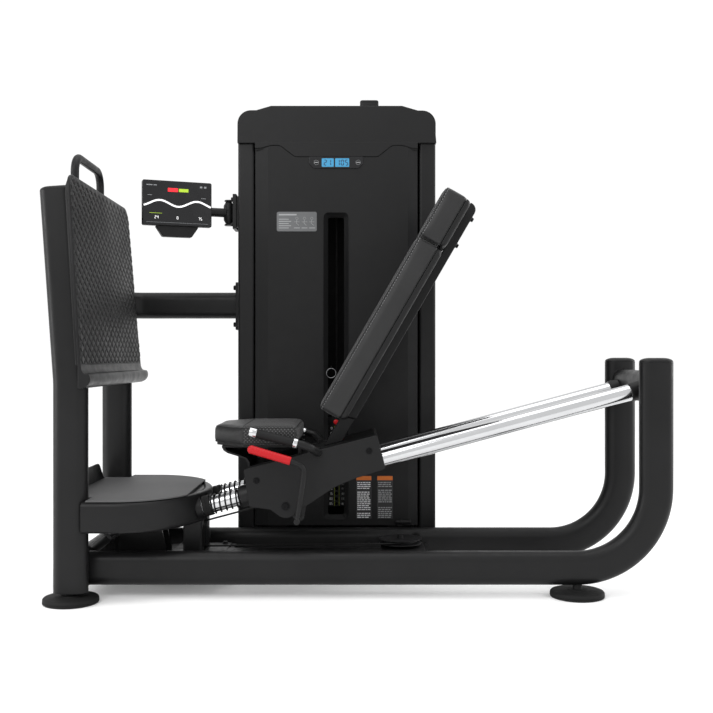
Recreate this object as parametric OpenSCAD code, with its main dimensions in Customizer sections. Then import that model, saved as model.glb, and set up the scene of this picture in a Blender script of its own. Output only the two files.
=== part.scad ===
// Seated leg press machine: a fixed, leaning footplate at the left end, a
// sprung seat carriage that runs up two inclined guide rods, and a weight
// stack tower behind, joined to the carriage by a cable over five pulleys.
// Millimetres, +X from the footplate to the seat, +Y towards the tower, +Z up.

/* [Frame] */
// Long side of the flat-oval frame tube
tube_w = 100; // [90:1:105]
// Short side of the flat-oval frame tube
tube_t = 60; // [54:1:60]
// Wall of the frame tube
tube_wall = 3; // [2:0.5:5]
// Distance of each floor rail from the centre plane
rail_y = 202; // [195:1:206]
// Height of the floor rail's centre
rail_z = 85; // [85:1:88]
// X of the rear uprights
upright_x = 888; // [880:1:900]
// Top of the rear upright tubes
upright_top = 694; // [685:1:720]
// Bend radius of the rail's centre line
rail_bend = 235.5; // [200:0.5:240]
// Distance of each footplate post from the centre plane
post_y = 277; // [275:1:279]
// X of the footplate posts
post_x = -825; // [-828:1:-822]
// Height at which the posts start to lean
post_bend_z = 624; // [610:1:630]
// Lean of the posts and of the footplate, degrees
lean = 4; // [4:0.1:4.2]
// Top of the post tubes
post_top = 1191; // [1180:1:1220]
// Radius of the round floor feet
foot_r = 80; // [60:1:85]

/* [Guide rods] */
// Incline of the guide rods, degrees
incline = 15; // [15:0.1:15.2]
// Distance of each rod from the centre plane
rod_y = 120; // [120:0.5:121]
// Radius of the rods
rod_r = 25; // [24.9:0.05:25]
// Height of the rod axes where X is zero
rod_z0 = 378.4; // [378:0.1:379]
// Radial running clearance of the slide bushes
bush_gap = 0.06; // [0.03:0.01:0.1]
// Turns of each bumper spring
spring_turns = 5; // [4:0.5:7]

/* [Carriage] */
// Outer face of the carriage side plates, from the centre plane
side_y = 160; // [159:0.5:161]
// Thickness of the carriage side plates
side_t = 6; // [5:0.5:6]
// Half width of the seat pad
seat_half = 190; // [180:1:192]
// Half width of the back pads
back_half = 160; // [150:1:165]

/* [Footplate] */
// Half width of the footplate at its top edge
foot_half_top = 359; // [350:1:365]
// Half width of the footplate at its lower edge
foot_half_low = 386; // [380:1:388]

/* [Tower] */
// Front face of the tower
tower_y = 255; // [254:0.5:256]
// Depth of the tower
tower_d = 340; // [338:1:360]
// Left side of the tower
tower_x0 = -408; // [-410:1:-407]
// Right side of the tower
tower_x1 = 272; // [271:1:276]
// X of the weight stack's centre
stack_x = -70; // [-72:1:-68]
// Y of the weight stack's centre
stack_y = 370; // [369:0.5:371]
// Number of resting weight plates
plates = 16; // [8:1:16]
// Pitch of the weight plates
plate_pitch = 17.5; // [17:0.1:17.5]

/* [Hidden] */
$fn = 48;
// centre of the overall box, so that the origin lies under it
ox = 12.225;
oy = 104.5;
ca = cos(incline);
sa = sin(incline);
cable_r = 3;
black = [0.09, 0.09, 0.095];
steel = [0.82, 0.83, 0.85];

module place() translate([-ox, -oy, 0]) children();

// --- shared shapes --------------------------------------------------------
module flat_oval(w, t) {
    square([w - t, t], center = true);
    translate([-(w - t) / 2, 0]) circle(d = t, $fn = 64);
    translate([(w - t) / 2, 0]) circle(d = t, $fn = 64);
}
module oval_ring(w, t, wall) difference() {
    flat_oval(w, t);
    flat_oval(w - 2 * wall, t - 2 * wall);
}
function arc(cx, cy, r, a0, a1, n = 6) =
    [for (i = [0:n]) [cx + r * cos(a0 + (a1 - a0) * i / n), cy + r * sin(a0 + (a1 - a0) * i / n)]];
// a rectangle with rounded corners, as one outline
function round_rect(w, h, r, n = 5) = concat(
    arc(w / 2 - r, h / 2 - r, r, 0, 90, n), arc(-w / 2 + r, h / 2 - r, r, 90, 180, n),
    arc(-w / 2 + r, -h / 2 + r, r, 180, 270, n), arc(w / 2 - r, -h / 2 + r, r, 270, 360, n));
// an outline drawn in X and Z, extruded along Y from y0 to y1
module xz(y0, y1) translate([0, y1, 0]) rotate([90, 0, 0]) linear_extrude(y1 - y0) children();
module tube_y(x, z, r, y0, y1, fn = 48) translate([x, y0, z]) rotate([-90, 0, 0]) cylinder(r = r, h = y1 - y0, $fn = fn);
module tube_x(y, z, r, x0, x1, fn = 48) translate([x0, y, z]) rotate([0, 90, 0]) cylinder(r = r, h = x1 - x0, $fn = fn);
// a hexagon bolt head and its washer, standing on a face
module bolt_head(r, h) {
    cylinder(r = r * 1.3, h = 1.6);
    cylinder(r = r, h = h, $fn = 6);
}
// the rod frame: local X runs up the incline, Z is its upward normal
module on_rod(y = 0) translate([0, y, rod_z0]) rotate([0, -incline, 0]) children();
module rod_tube(y, r, u0, u1, fn = 64) on_rod(y) translate([u0, 0, 0]) rotate([0, 90, 0]) cylinder(r = r, h = u1 - u0, $fn = fn);

// --- frame tubes ----------------------------------------------------------
module cross_solid(x, z, w, y1) translate([x, -y1, z]) rotate([-90, 0, 0]) rotate([0, 0, 90])
    linear_extrude(2 * y1) flat_oval(w, tube_t);
module post_stub(s, g = 0) translate([post_x, s * post_y, 0]) linear_extrude(450) flat_oval(tube_w + g, tube_t + g);
module rail_tube(y) {
    bx = upright_x - rail_bend;
    bz = rail_z + rail_bend;
    difference() {
        translate([post_x, y, rail_z]) rotate([0, 90, 0]) linear_extrude(bx - post_x) oval_ring(tube_w, tube_t, tube_wall);
        cross_solid(post_x, rail_z, tube_w, post_y);
    }
    translate([bx, y, bz]) rotate([90, 0, 0]) rotate([0, 0, -90]) rotate_extrude(angle = 90, $fn = 96)
        translate([rail_bend, 0]) oval_ring(tube_w, tube_t, tube_wall);
    translate([upright_x, y, bz]) linear_extrude(upright_top - bz) oval_ring(tube_w, tube_t, tube_wall);
}
module rail_near() place() color(black) rail_tube(-rail_y);
module rail_far() place() color(black) difference() {
    rail_tube(rail_y);
    // window that lets the cable pass to the tower
    tube_y(200, 111, 11, rail_y - 40, rail_y + 40);
}
module front_cross_tube() place() color(black) difference() {
    translate([post_x, -post_y, rail_z]) rotate([-90, 0, 0]) rotate([0, 0, 90])
        linear_extrude(2 * post_y) oval_ring(tube_w, tube_t, tube_wall);
    for (s = [-1, 1]) post_stub(s);
}
lean_r = 400;   // centre line radius of the posts' slight bend
post_z0 = 31;
lean_z = post_bend_z + lean_r * sin(lean);
lean_x = -lean_r + lean_r * cos(lean);
lean_len = (post_top - lean_z) / cos(lean);
module post_profile(full, g = 0) if (full) flat_oval(tube_w + g, tube_t + g); else oval_ring(tube_w, tube_t, tube_wall);
module post_run(full, g = 0) {
    // straight foot, short bend, leaning head
    translate([0, 0, post_z0]) linear_extrude(post_bend_z - post_z0) post_profile(full, g);
    translate([-lean_r, 0, post_bend_z]) rotate([90, 0, 0]) rotate_extrude(angle = lean, $fn = 96)
        translate([lean_r, 0]) post_profile(full, g);
    translate([lean_x, 0, lean_z]) rotate([0, -lean, 0]) linear_extrude(lean_len) post_profile(full, g);
}
module post_solid(s, g = 0.2) translate([post_x, s * post_y, 0]) post_run(true, g);
module footplate_posts() place() color(black) for (s = [-1, 1]) translate([post_x, s * post_y, 0]) {
    post_run(false);
    translate([0, 0, post_z0]) linear_extrude(4) flat_oval(tube_w - 2, tube_t - 2);
}
// a low domed cap with a plug that sits in the tube
module dome_cap() {
    intersection() {
        linear_extrude(14) flat_oval(tube_w - 0.4, tube_t - 0.4);
        translate([0, 0, 12 - 118]) sphere(r = 118, $fn = 96);
    }
    translate([0, 0, -12]) linear_extrude(12.2) flat_oval(tube_w - 2 * tube_wall - 0.8, tube_t - 2 * tube_wall - 0.8);
}
module tube_caps() place() color([0.05, 0.05, 0.05]) for (s = [-1, 1]) {
    translate([upright_x, s * rail_y, upright_top]) dome_cap();
    translate([post_x + lean_x, s * post_y, lean_z]) rotate([0, -lean, 0]) translate([0, 0, lean_len]) dome_cap();
}
module upright_solid(s) translate([upright_x, s * rail_y, 400]) linear_extrude(290) flat_oval(tube_w, tube_t);
module upper_crossbar() place() color(black) difference() {
    translate([upright_x, -rail_y, 620]) rotate([-90, 0, 0]) rotate([0, 0, 90])
        linear_extrude(2 * rail_y) oval_ring(96, 60, tube_wall);
    for (s = [-1, 1]) upright_solid(s);
}

// --- guide rods and their ends --------------------------------------------
rod_u0 = -560;
module behind_crossbar() {
    cross_solid(upright_x, 620, 96, rail_y);
    translate([upright_x, -200, 480]) cube([120, 400, 280]);
}
module guide_rods() place() color(steel) for (s = [-1, 1]) difference() {
    rod_tube(s * rod_y, rod_r, rod_u0, 915);
    rod_tube(s * rod_y, rod_r - 5, rod_u0 - 1, 916);
    behind_crossbar();
}
// half-ellipse outline whose straight ends run back to the posts
function d_outline(a, b, xb, n = 36) = concat([[xb, -b]],
    [for (i = [0:n]) let (t = -90 + 180 * i / n) [-690 + a * cos(t), b * sin(t)]], [[xb, b]]);
module step_outer() translate([0, 0, 200]) linear_extrude(100) polygon(d_outline(232, 322, -786));
module rod_collars() place() color([0.06, 0.06, 0.06]) for (s = [-1, 1]) {
    // lower clamp collar, outside the step rim
    difference() {
        rod_tube(s * rod_y, 33, -503, -484);
        rod_tube(s * rod_y, rod_r + 0.3, -510, -480);
        step_outer();
    }
    // upper collar, against the crossbar
    difference() {
        rod_tube(s * rod_y, 29, 874, 900);
        rod_tube(s * rod_y, rod_r + 0.3, 860, 910);
        behind_crossbar();
    }
}
module rod_bumper_rings() place() color([0.1, 0.1, 0.1]) for (s = [-1, 1]) difference() {
    on_rod(s * rod_y) translate([-482, 0, 0]) rotate([0, 90, 0]) rotate_extrude($fn = 64)
        polygon([[rod_r + 0.3, 0], [30, 0], [31.5, 1.5], [31.5, 10], [30, 11.5], [30, 12.5], [31.5, 14], [31.5, 22.5], [30, 24], [rod_r + 0.3, 24]]);
    step_outer();
}
// one bumper spring, a round wire swept along a helix by rule
spring_u0 = -457.8;
spring_len = 92.6;
module coil(turns, rm, rw, len, n = 20, m = 6) {
    steps = round(turns * n);
    lead = len - 2 * rw;
    pts = [for (i = [0:steps]) let (f = i / steps, a = -360 * turns * f) for (j = [0:m - 1]) let (b = 360 * j / m)
        [(rm + rw * cos(b)) * cos(a), (rm + rw * cos(b)) * sin(a), rw + lead * f + rw * sin(b)]];
    faces = concat(
        [[for (j = [0:m - 1]) j]],
        [for (i = [0:steps - 1]) for (j = [0:m - 1]) [i * m + j, (i + 1) * m + j, (i + 1) * m + (j + 1) % m]],
        [for (i = [0:steps - 1]) for (j = [0:m - 1]) [i * m + j, (i + 1) * m + (j + 1) % m, i * m + (j + 1) % m]],
        [[for (j = [0:m - 1]) steps * m + m - 1 - j]]);
    polyhedron(points = pts, faces = faces, convexity = 8);
}
module bumper_springs() place() color([0.04, 0.04, 0.04]) for (s = [-1, 1])
    on_rod(s * rod_y) translate([spring_u0, 0, 0]) rotate([0, 90, 0]) coil(spring_turns, 28.6, 2.3, spring_len);

// --- column, base frame, step platform ------------------------------------
module rod_column() place() color(black) {
    // two short columns, one each side of the front pulley
    for (s = [-1, 1]) translate([-506, s * 58, 101]) difference() {
        linear_extrude(104) difference() {
            polygon(round_rect(58, 60, 9));
            polygon(round_rect(52, 54, 6));
        }
        translate([1, -s * 40, 146.8 - 101]) rotate([-s * 90, 0, 0]) cylinder(r = 6.3, h = 30);
    }
    // yoke that holds the lower ends of the rods
    difference() {
        xz(-150, 150) polygon([[-572, 205], [-521, 205], [-521, 268], [-528, 275], [-564, 275], [-572, 267]]);
        for (s = [-1, 1]) rod_tube(s * rod_y, rod_r + 0.3, rod_u0, -480);
    }
}
module base_cross_frame() place() color(black) {
    difference() {
        translate([-495, -186, 65]) rotate([-90, 0, 0]) linear_extrude(372) difference() {
            polygon(round_rect(130, 50, 8));
            polygon(round_rect(124, 44, 6));
        }
        for (s = [-1, 1]) translate([-700, s * rail_y, rail_z]) rotate([0, 90, 0]) linear_extrude(400) flat_oval(tube_w, tube_t);
    }
    // flange plates and their bolts
    translate([-748, -125, 90]) cube([354, 250, 5.6]);
    translate([-575, -108, 95.6]) cube([166, 216, 5.4]);
    for (x = [-428, -560]) for (y = [-98, 98]) translate([x, y, 101]) bolt_head(7.5, 7);
    // centre beam
    difference() {
        translate([-430.2, -28, 47]) cube([510.2, 56, 53]);
        translate([-433, -24, 51]) cube([530, 48, 45]);
    }
    // gusset plates that carry the step platform
    for (s = [-1, 1]) xz(s * 40 - 4, s * 40 + 4)
        polygon([[-743, 95], [-592, 95], [-592, 102], [-616, 204], [-616, 284], [-700, 284], [-700, 204], [-743, 150]]);
    // stub braces from the front cross tube, and the lugs that hold them
    for (s = [-1, 1]) {
        difference() {
            translate([-761.6, s * 108, 157.4]) rotate([0, 231, 0]) cylinder(r = 15.5, h = 66);
            translate([-761.6, s * 108, 157.4]) rotate([0, 231, 0]) translate([0, 0, 3]) cylinder(r = 12.5, h = 66);
            cross_solid(post_x, rail_z, tube_w, post_y);
            translate([-840, -200, 60]) cube([20, 400, 100]);
        }
        translate([-761.6, s * 108, 157.4]) rotate([0, 231, 0]) translate([0, 0, -4]) cylinder(r = 14, h = 4.1);
        translate([-757, s > 0 ? 44 : -100, 140]) cube([14, 56, 12]);
    }
}
module step_platform() place() color(black) difference() {
    union() {
        // rim, a hollow flat-oval band
        difference() {
            union() {
                translate([0, 0, 205]) linear_extrude(4.1) polygon(d_outline(229, 319, -786));
                translate([0, 0, 209]) linear_extrude(82) polygon(d_outline(232, 322, -786));
                translate([0, 0, 290.9]) linear_extrude(4.1) polygon(d_outline(229, 319, -786));
            }
            translate([0, 0, 200]) linear_extrude(84) polygon(d_outline(202, 292, -790));
            translate([0, 0, 290]) linear_extrude(20) polygon(d_outline(202, 292, -790));
            translate([0, 0, 208]) linear_extrude(73) difference() { polygon(d_outline(229, 319, -783)); polygon(d_outline(205, 295, -790)); }
        }
        // deck between the posts
        translate([-856, -244, 284]) cube([76, 488, 6]);
    }
    for (s = [-1, 1]) {
        rod_tube(s * rod_y, rod_r + 0.3, rod_u0, -440);
        post_stub(s, 0.2);
    }
}
module step_mat() place() color([0.18, 0.18, 0.185]) difference() {
    union() {
        translate([0, 0, 290]) linear_extrude(5.5) polygon(d_outline(199.5, 289.5, -784));
        translate([0, 0, 295.2]) linear_extrude(4.3) polygon(d_outline(226, 316, -784));
        // back between the posts, to the kick plate
        translate([-856, -244, 290]) cube([80, 488, 9.5]);
    }
    // cut straight across in front of the rods
    translate([-505, -400, 280]) cube([100, 800, 40]);
    for (s = [-1, 1]) {
        post_stub(s, 1);
        rod_tube(s * rod_y, rod_r + 1, rod_u0 - 30, -440);
    }
}
module kick_plate() place() color(black) difference() {
    translate([-862, 0, 0]) rotate([90, 0, 90]) linear_extrude(5)
        polygon(concat([[-262, 240], [262, 240], [262, 297]],
            [for (i = [0:8]) let (t = i / 8) [240 - 90 * t, 297 + 58 * (3 * t * t - 2 * t * t * t)]],
            [for (i = [0:8]) let (t = 1 - i / 8) [-240 + 90 * t, 297 + 58 * (3 * t * t - 2 * t * t * t)]], [[-262, 297]]));
    for (s = [-1, 1]) post_stub(s);
}

// --- footplate ------------------------------------------------------------
// local frame: origin on the front face at the heel line, Z up the plate
fp_x = -766.4;
fp_z = 683;
fp_h = 547.5;
fp_lean = lean + 0.27;
module on_plate() translate([fp_x, 0, fp_z]) rotate([0, -fp_lean, 0]) children();
function plate_outline(g) = concat(
    arc(foot_half_top - g - 48, fp_h - g - 48, 48, 0, 90, 8),
    arc(-foot_half_top + g + 48, fp_h - g - 48, 48, 90, 180, 8),
    [[-foot_half_low + g, 0], [foot_half_low - g, 0]]);
module footplate() place() color(black) difference() {
    union() {
    on_plate() translate([-9, 0, 0]) rotate([90, 0, 90]) linear_extrude(6.4) polygon(plate_outline(0));
    // turned edges outside the posts
    on_plate() intersection() {
        translate([-15, 0, 0]) rotate([90, 0, 90]) linear_extrude(8) polygon(plate_outline(0));
        for (s = [-1, 1]) translate([-16, s > 0 ? 318 : -418, 0]) cube([12, 100, 600]);
    }
    // rolled heel lip below the plate
    xz(-foot_half_low, foot_half_low) polygon(concat(
        [[-775.4, 690], [-770, 690], [-766.8, 683]],
        arc(-742, 683, 24.5, 184, 232, 5),
        arc(-766.5, 648, 25.5, 32, -72, 10),
        [[-764, 621], [-775.4, 621]]));
    }
    for (s = [-1, 1]) post_solid(s, 0.4);
}
module footplate_tread() place() color([0.13, 0.13, 0.135]) on_plate()
    translate([-2.6, 0, 6]) rotate([90, 0, 90]) linear_extrude(2.6) polygon(concat(
        arc(foot_half_top - 52, fp_h - 58, 46, 0, 90, 8), arc(-foot_half_top + 52, fp_h - 58, 46, 90, 180, 8),
        [[-foot_half_low + 6, 0], [foot_half_low - 6, 0]]));
module footplate_brackets() place() color(black) {
    // lugs between the posts' inner faces and the plate's back
    difference() {
        for (s = [-1, 1]) for (z = [90, 400]) on_plate() translate([-70, s > 0 ? 222 : -250, z]) cube([61, 28, 70]);
        for (s = [-1, 1]) post_solid(s);
    }
    // channels that stiffen the plate
    on_plate() for (z = [95, 405]) translate([-37, -222.2, z]) difference() {
        cube([28, 444.4, 60]);
        translate([-1, -1, 4]) cube([25, 448, 52]);
    }
    // tie between the posts that carries the grab handle
    difference() {
        translate([-877, -252, 1120]) cube([40, 504, 40]);
        translate([-873.5, -260, 1123.5]) cube([33, 520, 33]);
        for (s = [-1, 1]) post_solid(s);
    }
}
module footplate_handle() place() color([0.07, 0.07, 0.07]) translate([-850, 0, 0]) {
    // inverted U of round tube behind the top of the plate
    for (s = [-1, 1]) {
        translate([0, s * 148, 1160]) cylinder(r = 12.5, h = 108);
        translate([0, s * 98, 1268]) rotate([90, 0, 90]) rotate([0, 0, s > 0 ? 0 : 90]) rotate_extrude(angle = 90, $fn = 96)
            translate([50, 0]) circle(r = 12.5, $fn = 48);
    }
    tube_y(0, 1318, 12.5, -98, 98);
}

// --- feet and the link to the tower ---------------------------------------
module foot(r, h, top) rotate_extrude($fn = 64) polygon(concat([[0, 0], [r - 4, 0], [r, 4]],
    arc(r - 8, h - 8, 8, 0, 90, 5), [[30, h + 2], [13.5, h + 3.5], [13.5, top], [0, top]]));
module foot_discs() place() color([0.05, 0.05, 0.05]) {
    for (s = [-1, 1]) {
        translate([post_x, s * post_y, 0]) foot(foot_r, 19, post_z0);
        difference() {
            translate([654, s * rail_y, 0]) foot(foot_r, 19, 44);
            translate([500, s * rail_y, rail_z]) rotate([0, 90, 0]) linear_extrude(300) flat_oval(tube_w, tube_t);
        }
    }
    for (x = [-320, 185]) for (y = [315, 556]) translate([x, y, 0]) foot(38, 14, 30);
}
// leaves the far post sideways, bends round the plate's far edge, runs to the tower
link_z = 895;
link_r = 90;
link_x = -760;          // centre of the bend
link_yc = 355;
module link_profile() oval_ring(94, 60, 3);
module link_tube() place() color(black) {
    difference() {
        union() {
            translate([link_x - link_r, post_y, link_z]) rotate([-90, 0, 0]) rotate([0, 0, 90])
                linear_extrude(link_yc - post_y) link_profile();
            translate([link_x, link_yc, link_z]) rotate([0, 0, 90]) rotate_extrude(angle = 90, $fn = 96)
                translate([link_r, 0]) rotate(90) link_profile();
            translate([link_x, link_yc + link_r, link_z]) rotate([0, 90, 0])
                linear_extrude(340) link_profile();
        }
        post_solid(1);
        translate([-431, 200, 700]) cube([200, 400, 400]);
    }
    // flange plates and bolts
    translate([-431, 390, 806]) cube([11, 110, 170]);
    translate([-420, 390, 806]) cube([420 + tower_x0, 110, 170]);
    for (y = [408, 482]) for (z = [825, 957]) translate([-431, y, z]) rotate([0, -90, 0]) bolt_head(7.5, 8);
}

// --- tower ----------------------------------------------------------------
tower_y1 = tower_y + tower_d;
module side_ring(x0, w) translate([x0 + w / 2, tower_y + 13 + (tower_d - 13) / 2, 30]) linear_extrude(1412) difference() {
    polygon(round_rect(w, tower_d - 13, 9));
    polygon(round_rect(w - 4, tower_d - 17, 7));
}
in_x0 = tower_x0 + 57;
in_x1 = tower_x1 - 57;
module tower_sides() place() color(black) {
    side_ring(tower_x0, 57);
    side_ring(in_x1, 57);
}
module tower_base() place() color([0.07, 0.07, 0.07]) {
    for (y = [290, 538]) translate([in_x0, y, 30]) difference() {
        cube([in_x1 - in_x0, 50, 60]);
        translate([-1, 4, 4]) cube([in_x1 - in_x0 + 2, 42, 52]);
    }
    translate([-250, 292, 90]) cube([360, 294, 6]);
    // bracket to the far rail, with its bolts
    translate([30, rail_y + tube_t / 2, 67]) cube([220, 6, 35]);
    for (x = [60, 150]) translate([x, rail_y + tube_t / 2 + 6, 67]) cube([8, 52, 35]);
    for (x = [41, 235]) translate([x, rail_y - tube_t / 2, 84]) rotate([90, 0, 0]) bolt_head(7, 7);
}
module tower_top_beam() place() color([0.07, 0.07, 0.07]) {
    difference() {
        translate([in_x0, stack_y - 30, 1500]) cube([in_x1 - in_x0, 60, 40]);
        translate([in_x0 - 1, stack_y - 26, 1504]) cube([in_x1 - in_x0 + 2, 52, 32]);
    }
    // hanger plates of the two top pulleys
    for (x = [-20, 150]) for (s = [-1, 1]) difference() {
        translate([x - 20, stack_y + s * 16 - 3, 1420]) cube([40, 6, 80]);
        tube_y(x, 1440, 6.3, stack_y + s * 16 - 10, stack_y + s * 16 + 10);
    }
    // end plates on the tower sides, and the lower tie that holds the rods
    translate([in_x0, stack_y - 30, 1368]) cube([6, 60, 132]);
    translate([in_x1 - 6, stack_y - 30, 1368]) cube([6, 60, 132]);
    difference() {
        translate([in_x0 + 6, stack_y - 28, 1368]) cube([in_x1 - in_x0 - 12, 56, 6]);
        for (s = [-1, 1]) translate([stack_x + s * 110, stack_y, 1360]) cylinder(r = 12.8, h = 30);
        translate([stack_x, stack_y, 1360]) cylinder(r = 14, h = 30);
        translate([200, stack_y, 1360]) cylinder(r = 8, h = 30);
    }
}
slot_x0 = -114.7;
slot_x1 = -25.7;
// the stepped seam between the cap's apron and the front shroud
function seam(d) = [[-347.5, 1424 - d], [-325, 1426 - d], [-288, 1435 - d], [-261, 1435 - d], [-209.6, 1396 - d], [73, 1396 - d],
    [122, 1435 - d], [154, 1435 - d], [188, 1426 - d], [209.5, 1424 - d]];
module slot_cut(y0, y1, g) translate([(slot_x0 + slot_x1) / 2, 0, (151 + 1206) / 2]) xz(y0, y1)
    polygon(round_rect(slot_x1 - slot_x0 + 2 * g, 1055 + 2 * g, 17 + g * 0.5, 6));
module shroud_front() place() color([0.1, 0.1, 0.105]) {
    difference() {
        // bent panel: flat middle, two bevelled edges
        intersection() {
            translate([0, 0, 131]) linear_extrude(1310) polygon([[-347.5, tower_y + 13], [-347.5, tower_y + 10], [-303, tower_y],
                [176, tower_y], [209.5, tower_y + 10], [209.5, tower_y + 13], [175, tower_y + 3], [-302, tower_y + 3]]);
            xz(200, 400) polygon(concat([for (i = [9:-1:0]) seam(2.5)[i]], [[-360, 1421.5], [-360, 131], [220, 131], [220, 1421.5]]));
        }
        slot_cut(200, 300, 0);
    }
    // return lip round the slot, and its narrow inner flange
    difference() {
        slot_cut(tower_y, tower_y + 17, 0);
        slot_cut(tower_y - 1, tower_y + 18, -3);
    }
    difference() {
        slot_cut(tower_y + 15, tower_y + 17, 0);
        slot_cut(tower_y + 14, tower_y + 18, -17);
    }
    // tabs to the tower sides
    for (z = [180, 760, 1340]) {
        translate([in_x0, tower_y + 11, z]) cube([22, 12, 40]);
        translate([in_x1 - 26, tower_y + 9.5, z]) cube([26, 12, 40]);
    }
}
module shroud_rear() place() color(black) translate([in_x0, tower_y1 - 6, 30]) cube([in_x1 - in_x0, 4, 1411]);
function cap_top() = concat([[tower_x1 + 2.5, 1442], [tower_x1, 1470]], arc(tower_x1 - 46, 1509, 46, 0, 90, 10), [[210.6, 1555], [156, 1571], [-293, 1571], [-344, 1556]], arc(tower_x0 + 45.4, 1510, 46, 90, 180, 10), [[tower_x0 - 1, 1442]]);
function cap_in() = concat([[tower_x1 - 3, 1400]], arc(tower_x1 - 46, 1508.5, 43, 0, 90, 10), [[210, 1551.5], [155, 1567.5], [-292, 1567.5], [-343, 1552.5]], arc(tower_x0 + 46, 1509.5, 43, 90, 180, 10), [[tower_x0 + 3, 1400]]);
module tower_cap() place() color([0.1, 0.1, 0.105]) {
    difference() {
        xz(tower_y, tower_y1) polygon(cap_top());
        xz(tower_y + 3, tower_y1 - 3) polygon(cap_in());
    }
    // front apron that meets the shroud along the seam
    xz(tower_y, tower_y + 3) polygon(concat([[209.5, 1442.2], [-347.5, 1442.2]], seam(0)));
}
module display_module() place() color([0.14, 0.14, 0.15]) difference() {
    xz(tower_y - 4, tower_y) polygon([[-162, 1395.2], [-162, 1370], [-148, 1355], [8, 1355], [22, 1370], [22, 1395.2]]);
    xz(tower_y - 5, tower_y - 3) polygon([[-118, 1389], [-118, 1360], [-78, 1360], [-78, 1389]]);
    xz(tower_y - 5, tower_y - 3) polygon([[-73, 1389], [-73, 1360], [-25, 1360], [-25, 1389]]);
}
module info_plates() place() color([0.45, 0.46, 0.47]) xz(tower_y - 1.2, tower_y) {
    translate([-204.6, 1173]) polygon(round_rect(137, 67, 6));
    polygon([[-1.7, 155], [52, 155], [52, 303], [-1.7, 303]]);
    polygon([[70, 155], [125, 155], [125, 303], [70, 303]]);
}
module barrel_socket() place() color([0.04, 0.04, 0.04]) {
    tube_x(tower_y - 10, 146, 8, 134, 186);
    translate([140, tower_y - 12, 132]) cube([14, 12, 8]);
}
module sensor_box() place() color([0.05, 0.05, 0.05]) translate([44, 295, 1571]) linear_extrude(23) polygon(round_rect(64, 50, 10));

// --- weight stack ---------------------------------------------------------
stack_z0 = 190;
head_z0 = stack_z0 + plates * plate_pitch;
module stack_guide_rods() place() color(steel) for (s = [-1, 1])
    translate([stack_x + s * 110, stack_y, 96]) cylinder(r = 12.5, h = 1390 - 96);
module stack_plates() place() color([0.06, 0.06, 0.06]) for (i = [0:plates - 1]) difference() {
    translate([stack_x, stack_y, stack_z0 + i * plate_pitch]) linear_extrude(plate_pitch - 0.6) polygon(round_rect(300, 110, 6, 3));
    for (s = [-1, 1]) translate([stack_x + s * 110, stack_y, 100]) cylinder(r = 13.2, h = 600);
    translate([stack_x, stack_y, 100]) cylinder(r = 11, h = 600);
    tube_y(stack_x, stack_z0 + (i + 0.5) * plate_pitch - 0.3, 5.5, stack_y - 60, stack_y - 9, 32);
}
module stack_bumpers() place() color([0.07, 0.07, 0.07]) for (s = [-1, 1]) translate([stack_x + s * 110, stack_y, 96]) difference() {
    union() {
        cylinder(r = 24, h = 60);
        translate([0, 0, 60]) cylinder(r = 28, h = stack_z0 - 96 - 60);
    }
    translate([0, 0, -1]) cylinder(r = 12.8, h = 120);
}
module stack_head() place() color([0.07, 0.07, 0.07]) difference() {
    union() {
        difference() {
            translate([stack_x, stack_y, head_z0]) linear_extrude(29) polygon(round_rect(300, 110, 6, 3));
            for (s = [-1, 1]) translate([stack_x + s * 110, stack_y, head_z0 - 1]) cylinder(r = 12.56, h = 40, $fn = 64);
        }
        // selector stem through the plates, and its eye above
        translate([stack_x, stack_y, stack_z0 + 6]) cylinder(r = 10, h = head_z0 - stack_z0 + 60);
        translate([stack_x, stack_y, head_z0 + 60]) cylinder(r = 14, h = 40);
    }
    tube_y(stack_x, head_z0 + 17, 5.3, stack_y - 60, stack_y + 30, 32);
    for (i = [0:plates - 1]) tube_y(stack_x, stack_z0 + (i + 0.5) * plate_pitch - 0.3, 5.3, stack_y - 30, stack_y + 30, 32);
}
module selector_pin() place() color([0.75, 0.1, 0.1]) {
    tube_y(stack_x, head_z0 + 17, 5, 258, stack_y + 8);
    tube_y(stack_x, head_z0 + 17, 8, 252, 264);
    tube_y(stack_x, head_z0 + 17, 12, 243.5, 255);
}

// --- pulleys and cables ---------------------------------------------------
// a grooved sheave; rp is the radius of the cable's centre line
module sheave(rp, ro, t, bore) rotate_extrude($fn = 64) polygon([[bore, -t / 2], [ro, -t / 2], [ro, -t / 2 + 2],
    [rp - cable_r - 0.4, -cable_r * 0.8], [rp - cable_r - 0.4, cable_r * 0.8], [ro, t / 2 - 2], [ro, t / 2], [bore, t / 2]]);
p1x = -505;
p1z = 146.8;
module front_pulley() place() color([0.12, 0.12, 0.12]) translate([p1x, 0, p1z]) rotate([90, 0, 0]) sheave(36, 42, 18, 6.05);
module deflection_pulley() place() color([0.12, 0.12, 0.12]) translate([143, 95, 111]) sheave(57, 69, 16, 6.05);
module tower_low_pulley() place() color([0.12, 0.12, 0.12]) translate([200, 325, 156]) rotate([0, 90, 0]) sheave(45, 51, 16, 6.05);
module top_pulley(x) translate([x, stack_y, 1440]) rotate([90, 0, 0]) sheave(50, 57, 16, 6.05);
module top_pulley_right() place() color([0.12, 0.12, 0.12]) top_pulley(150);
module top_pulley_left() place() color([0.12, 0.12, 0.12]) top_pulley(-20);
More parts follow.
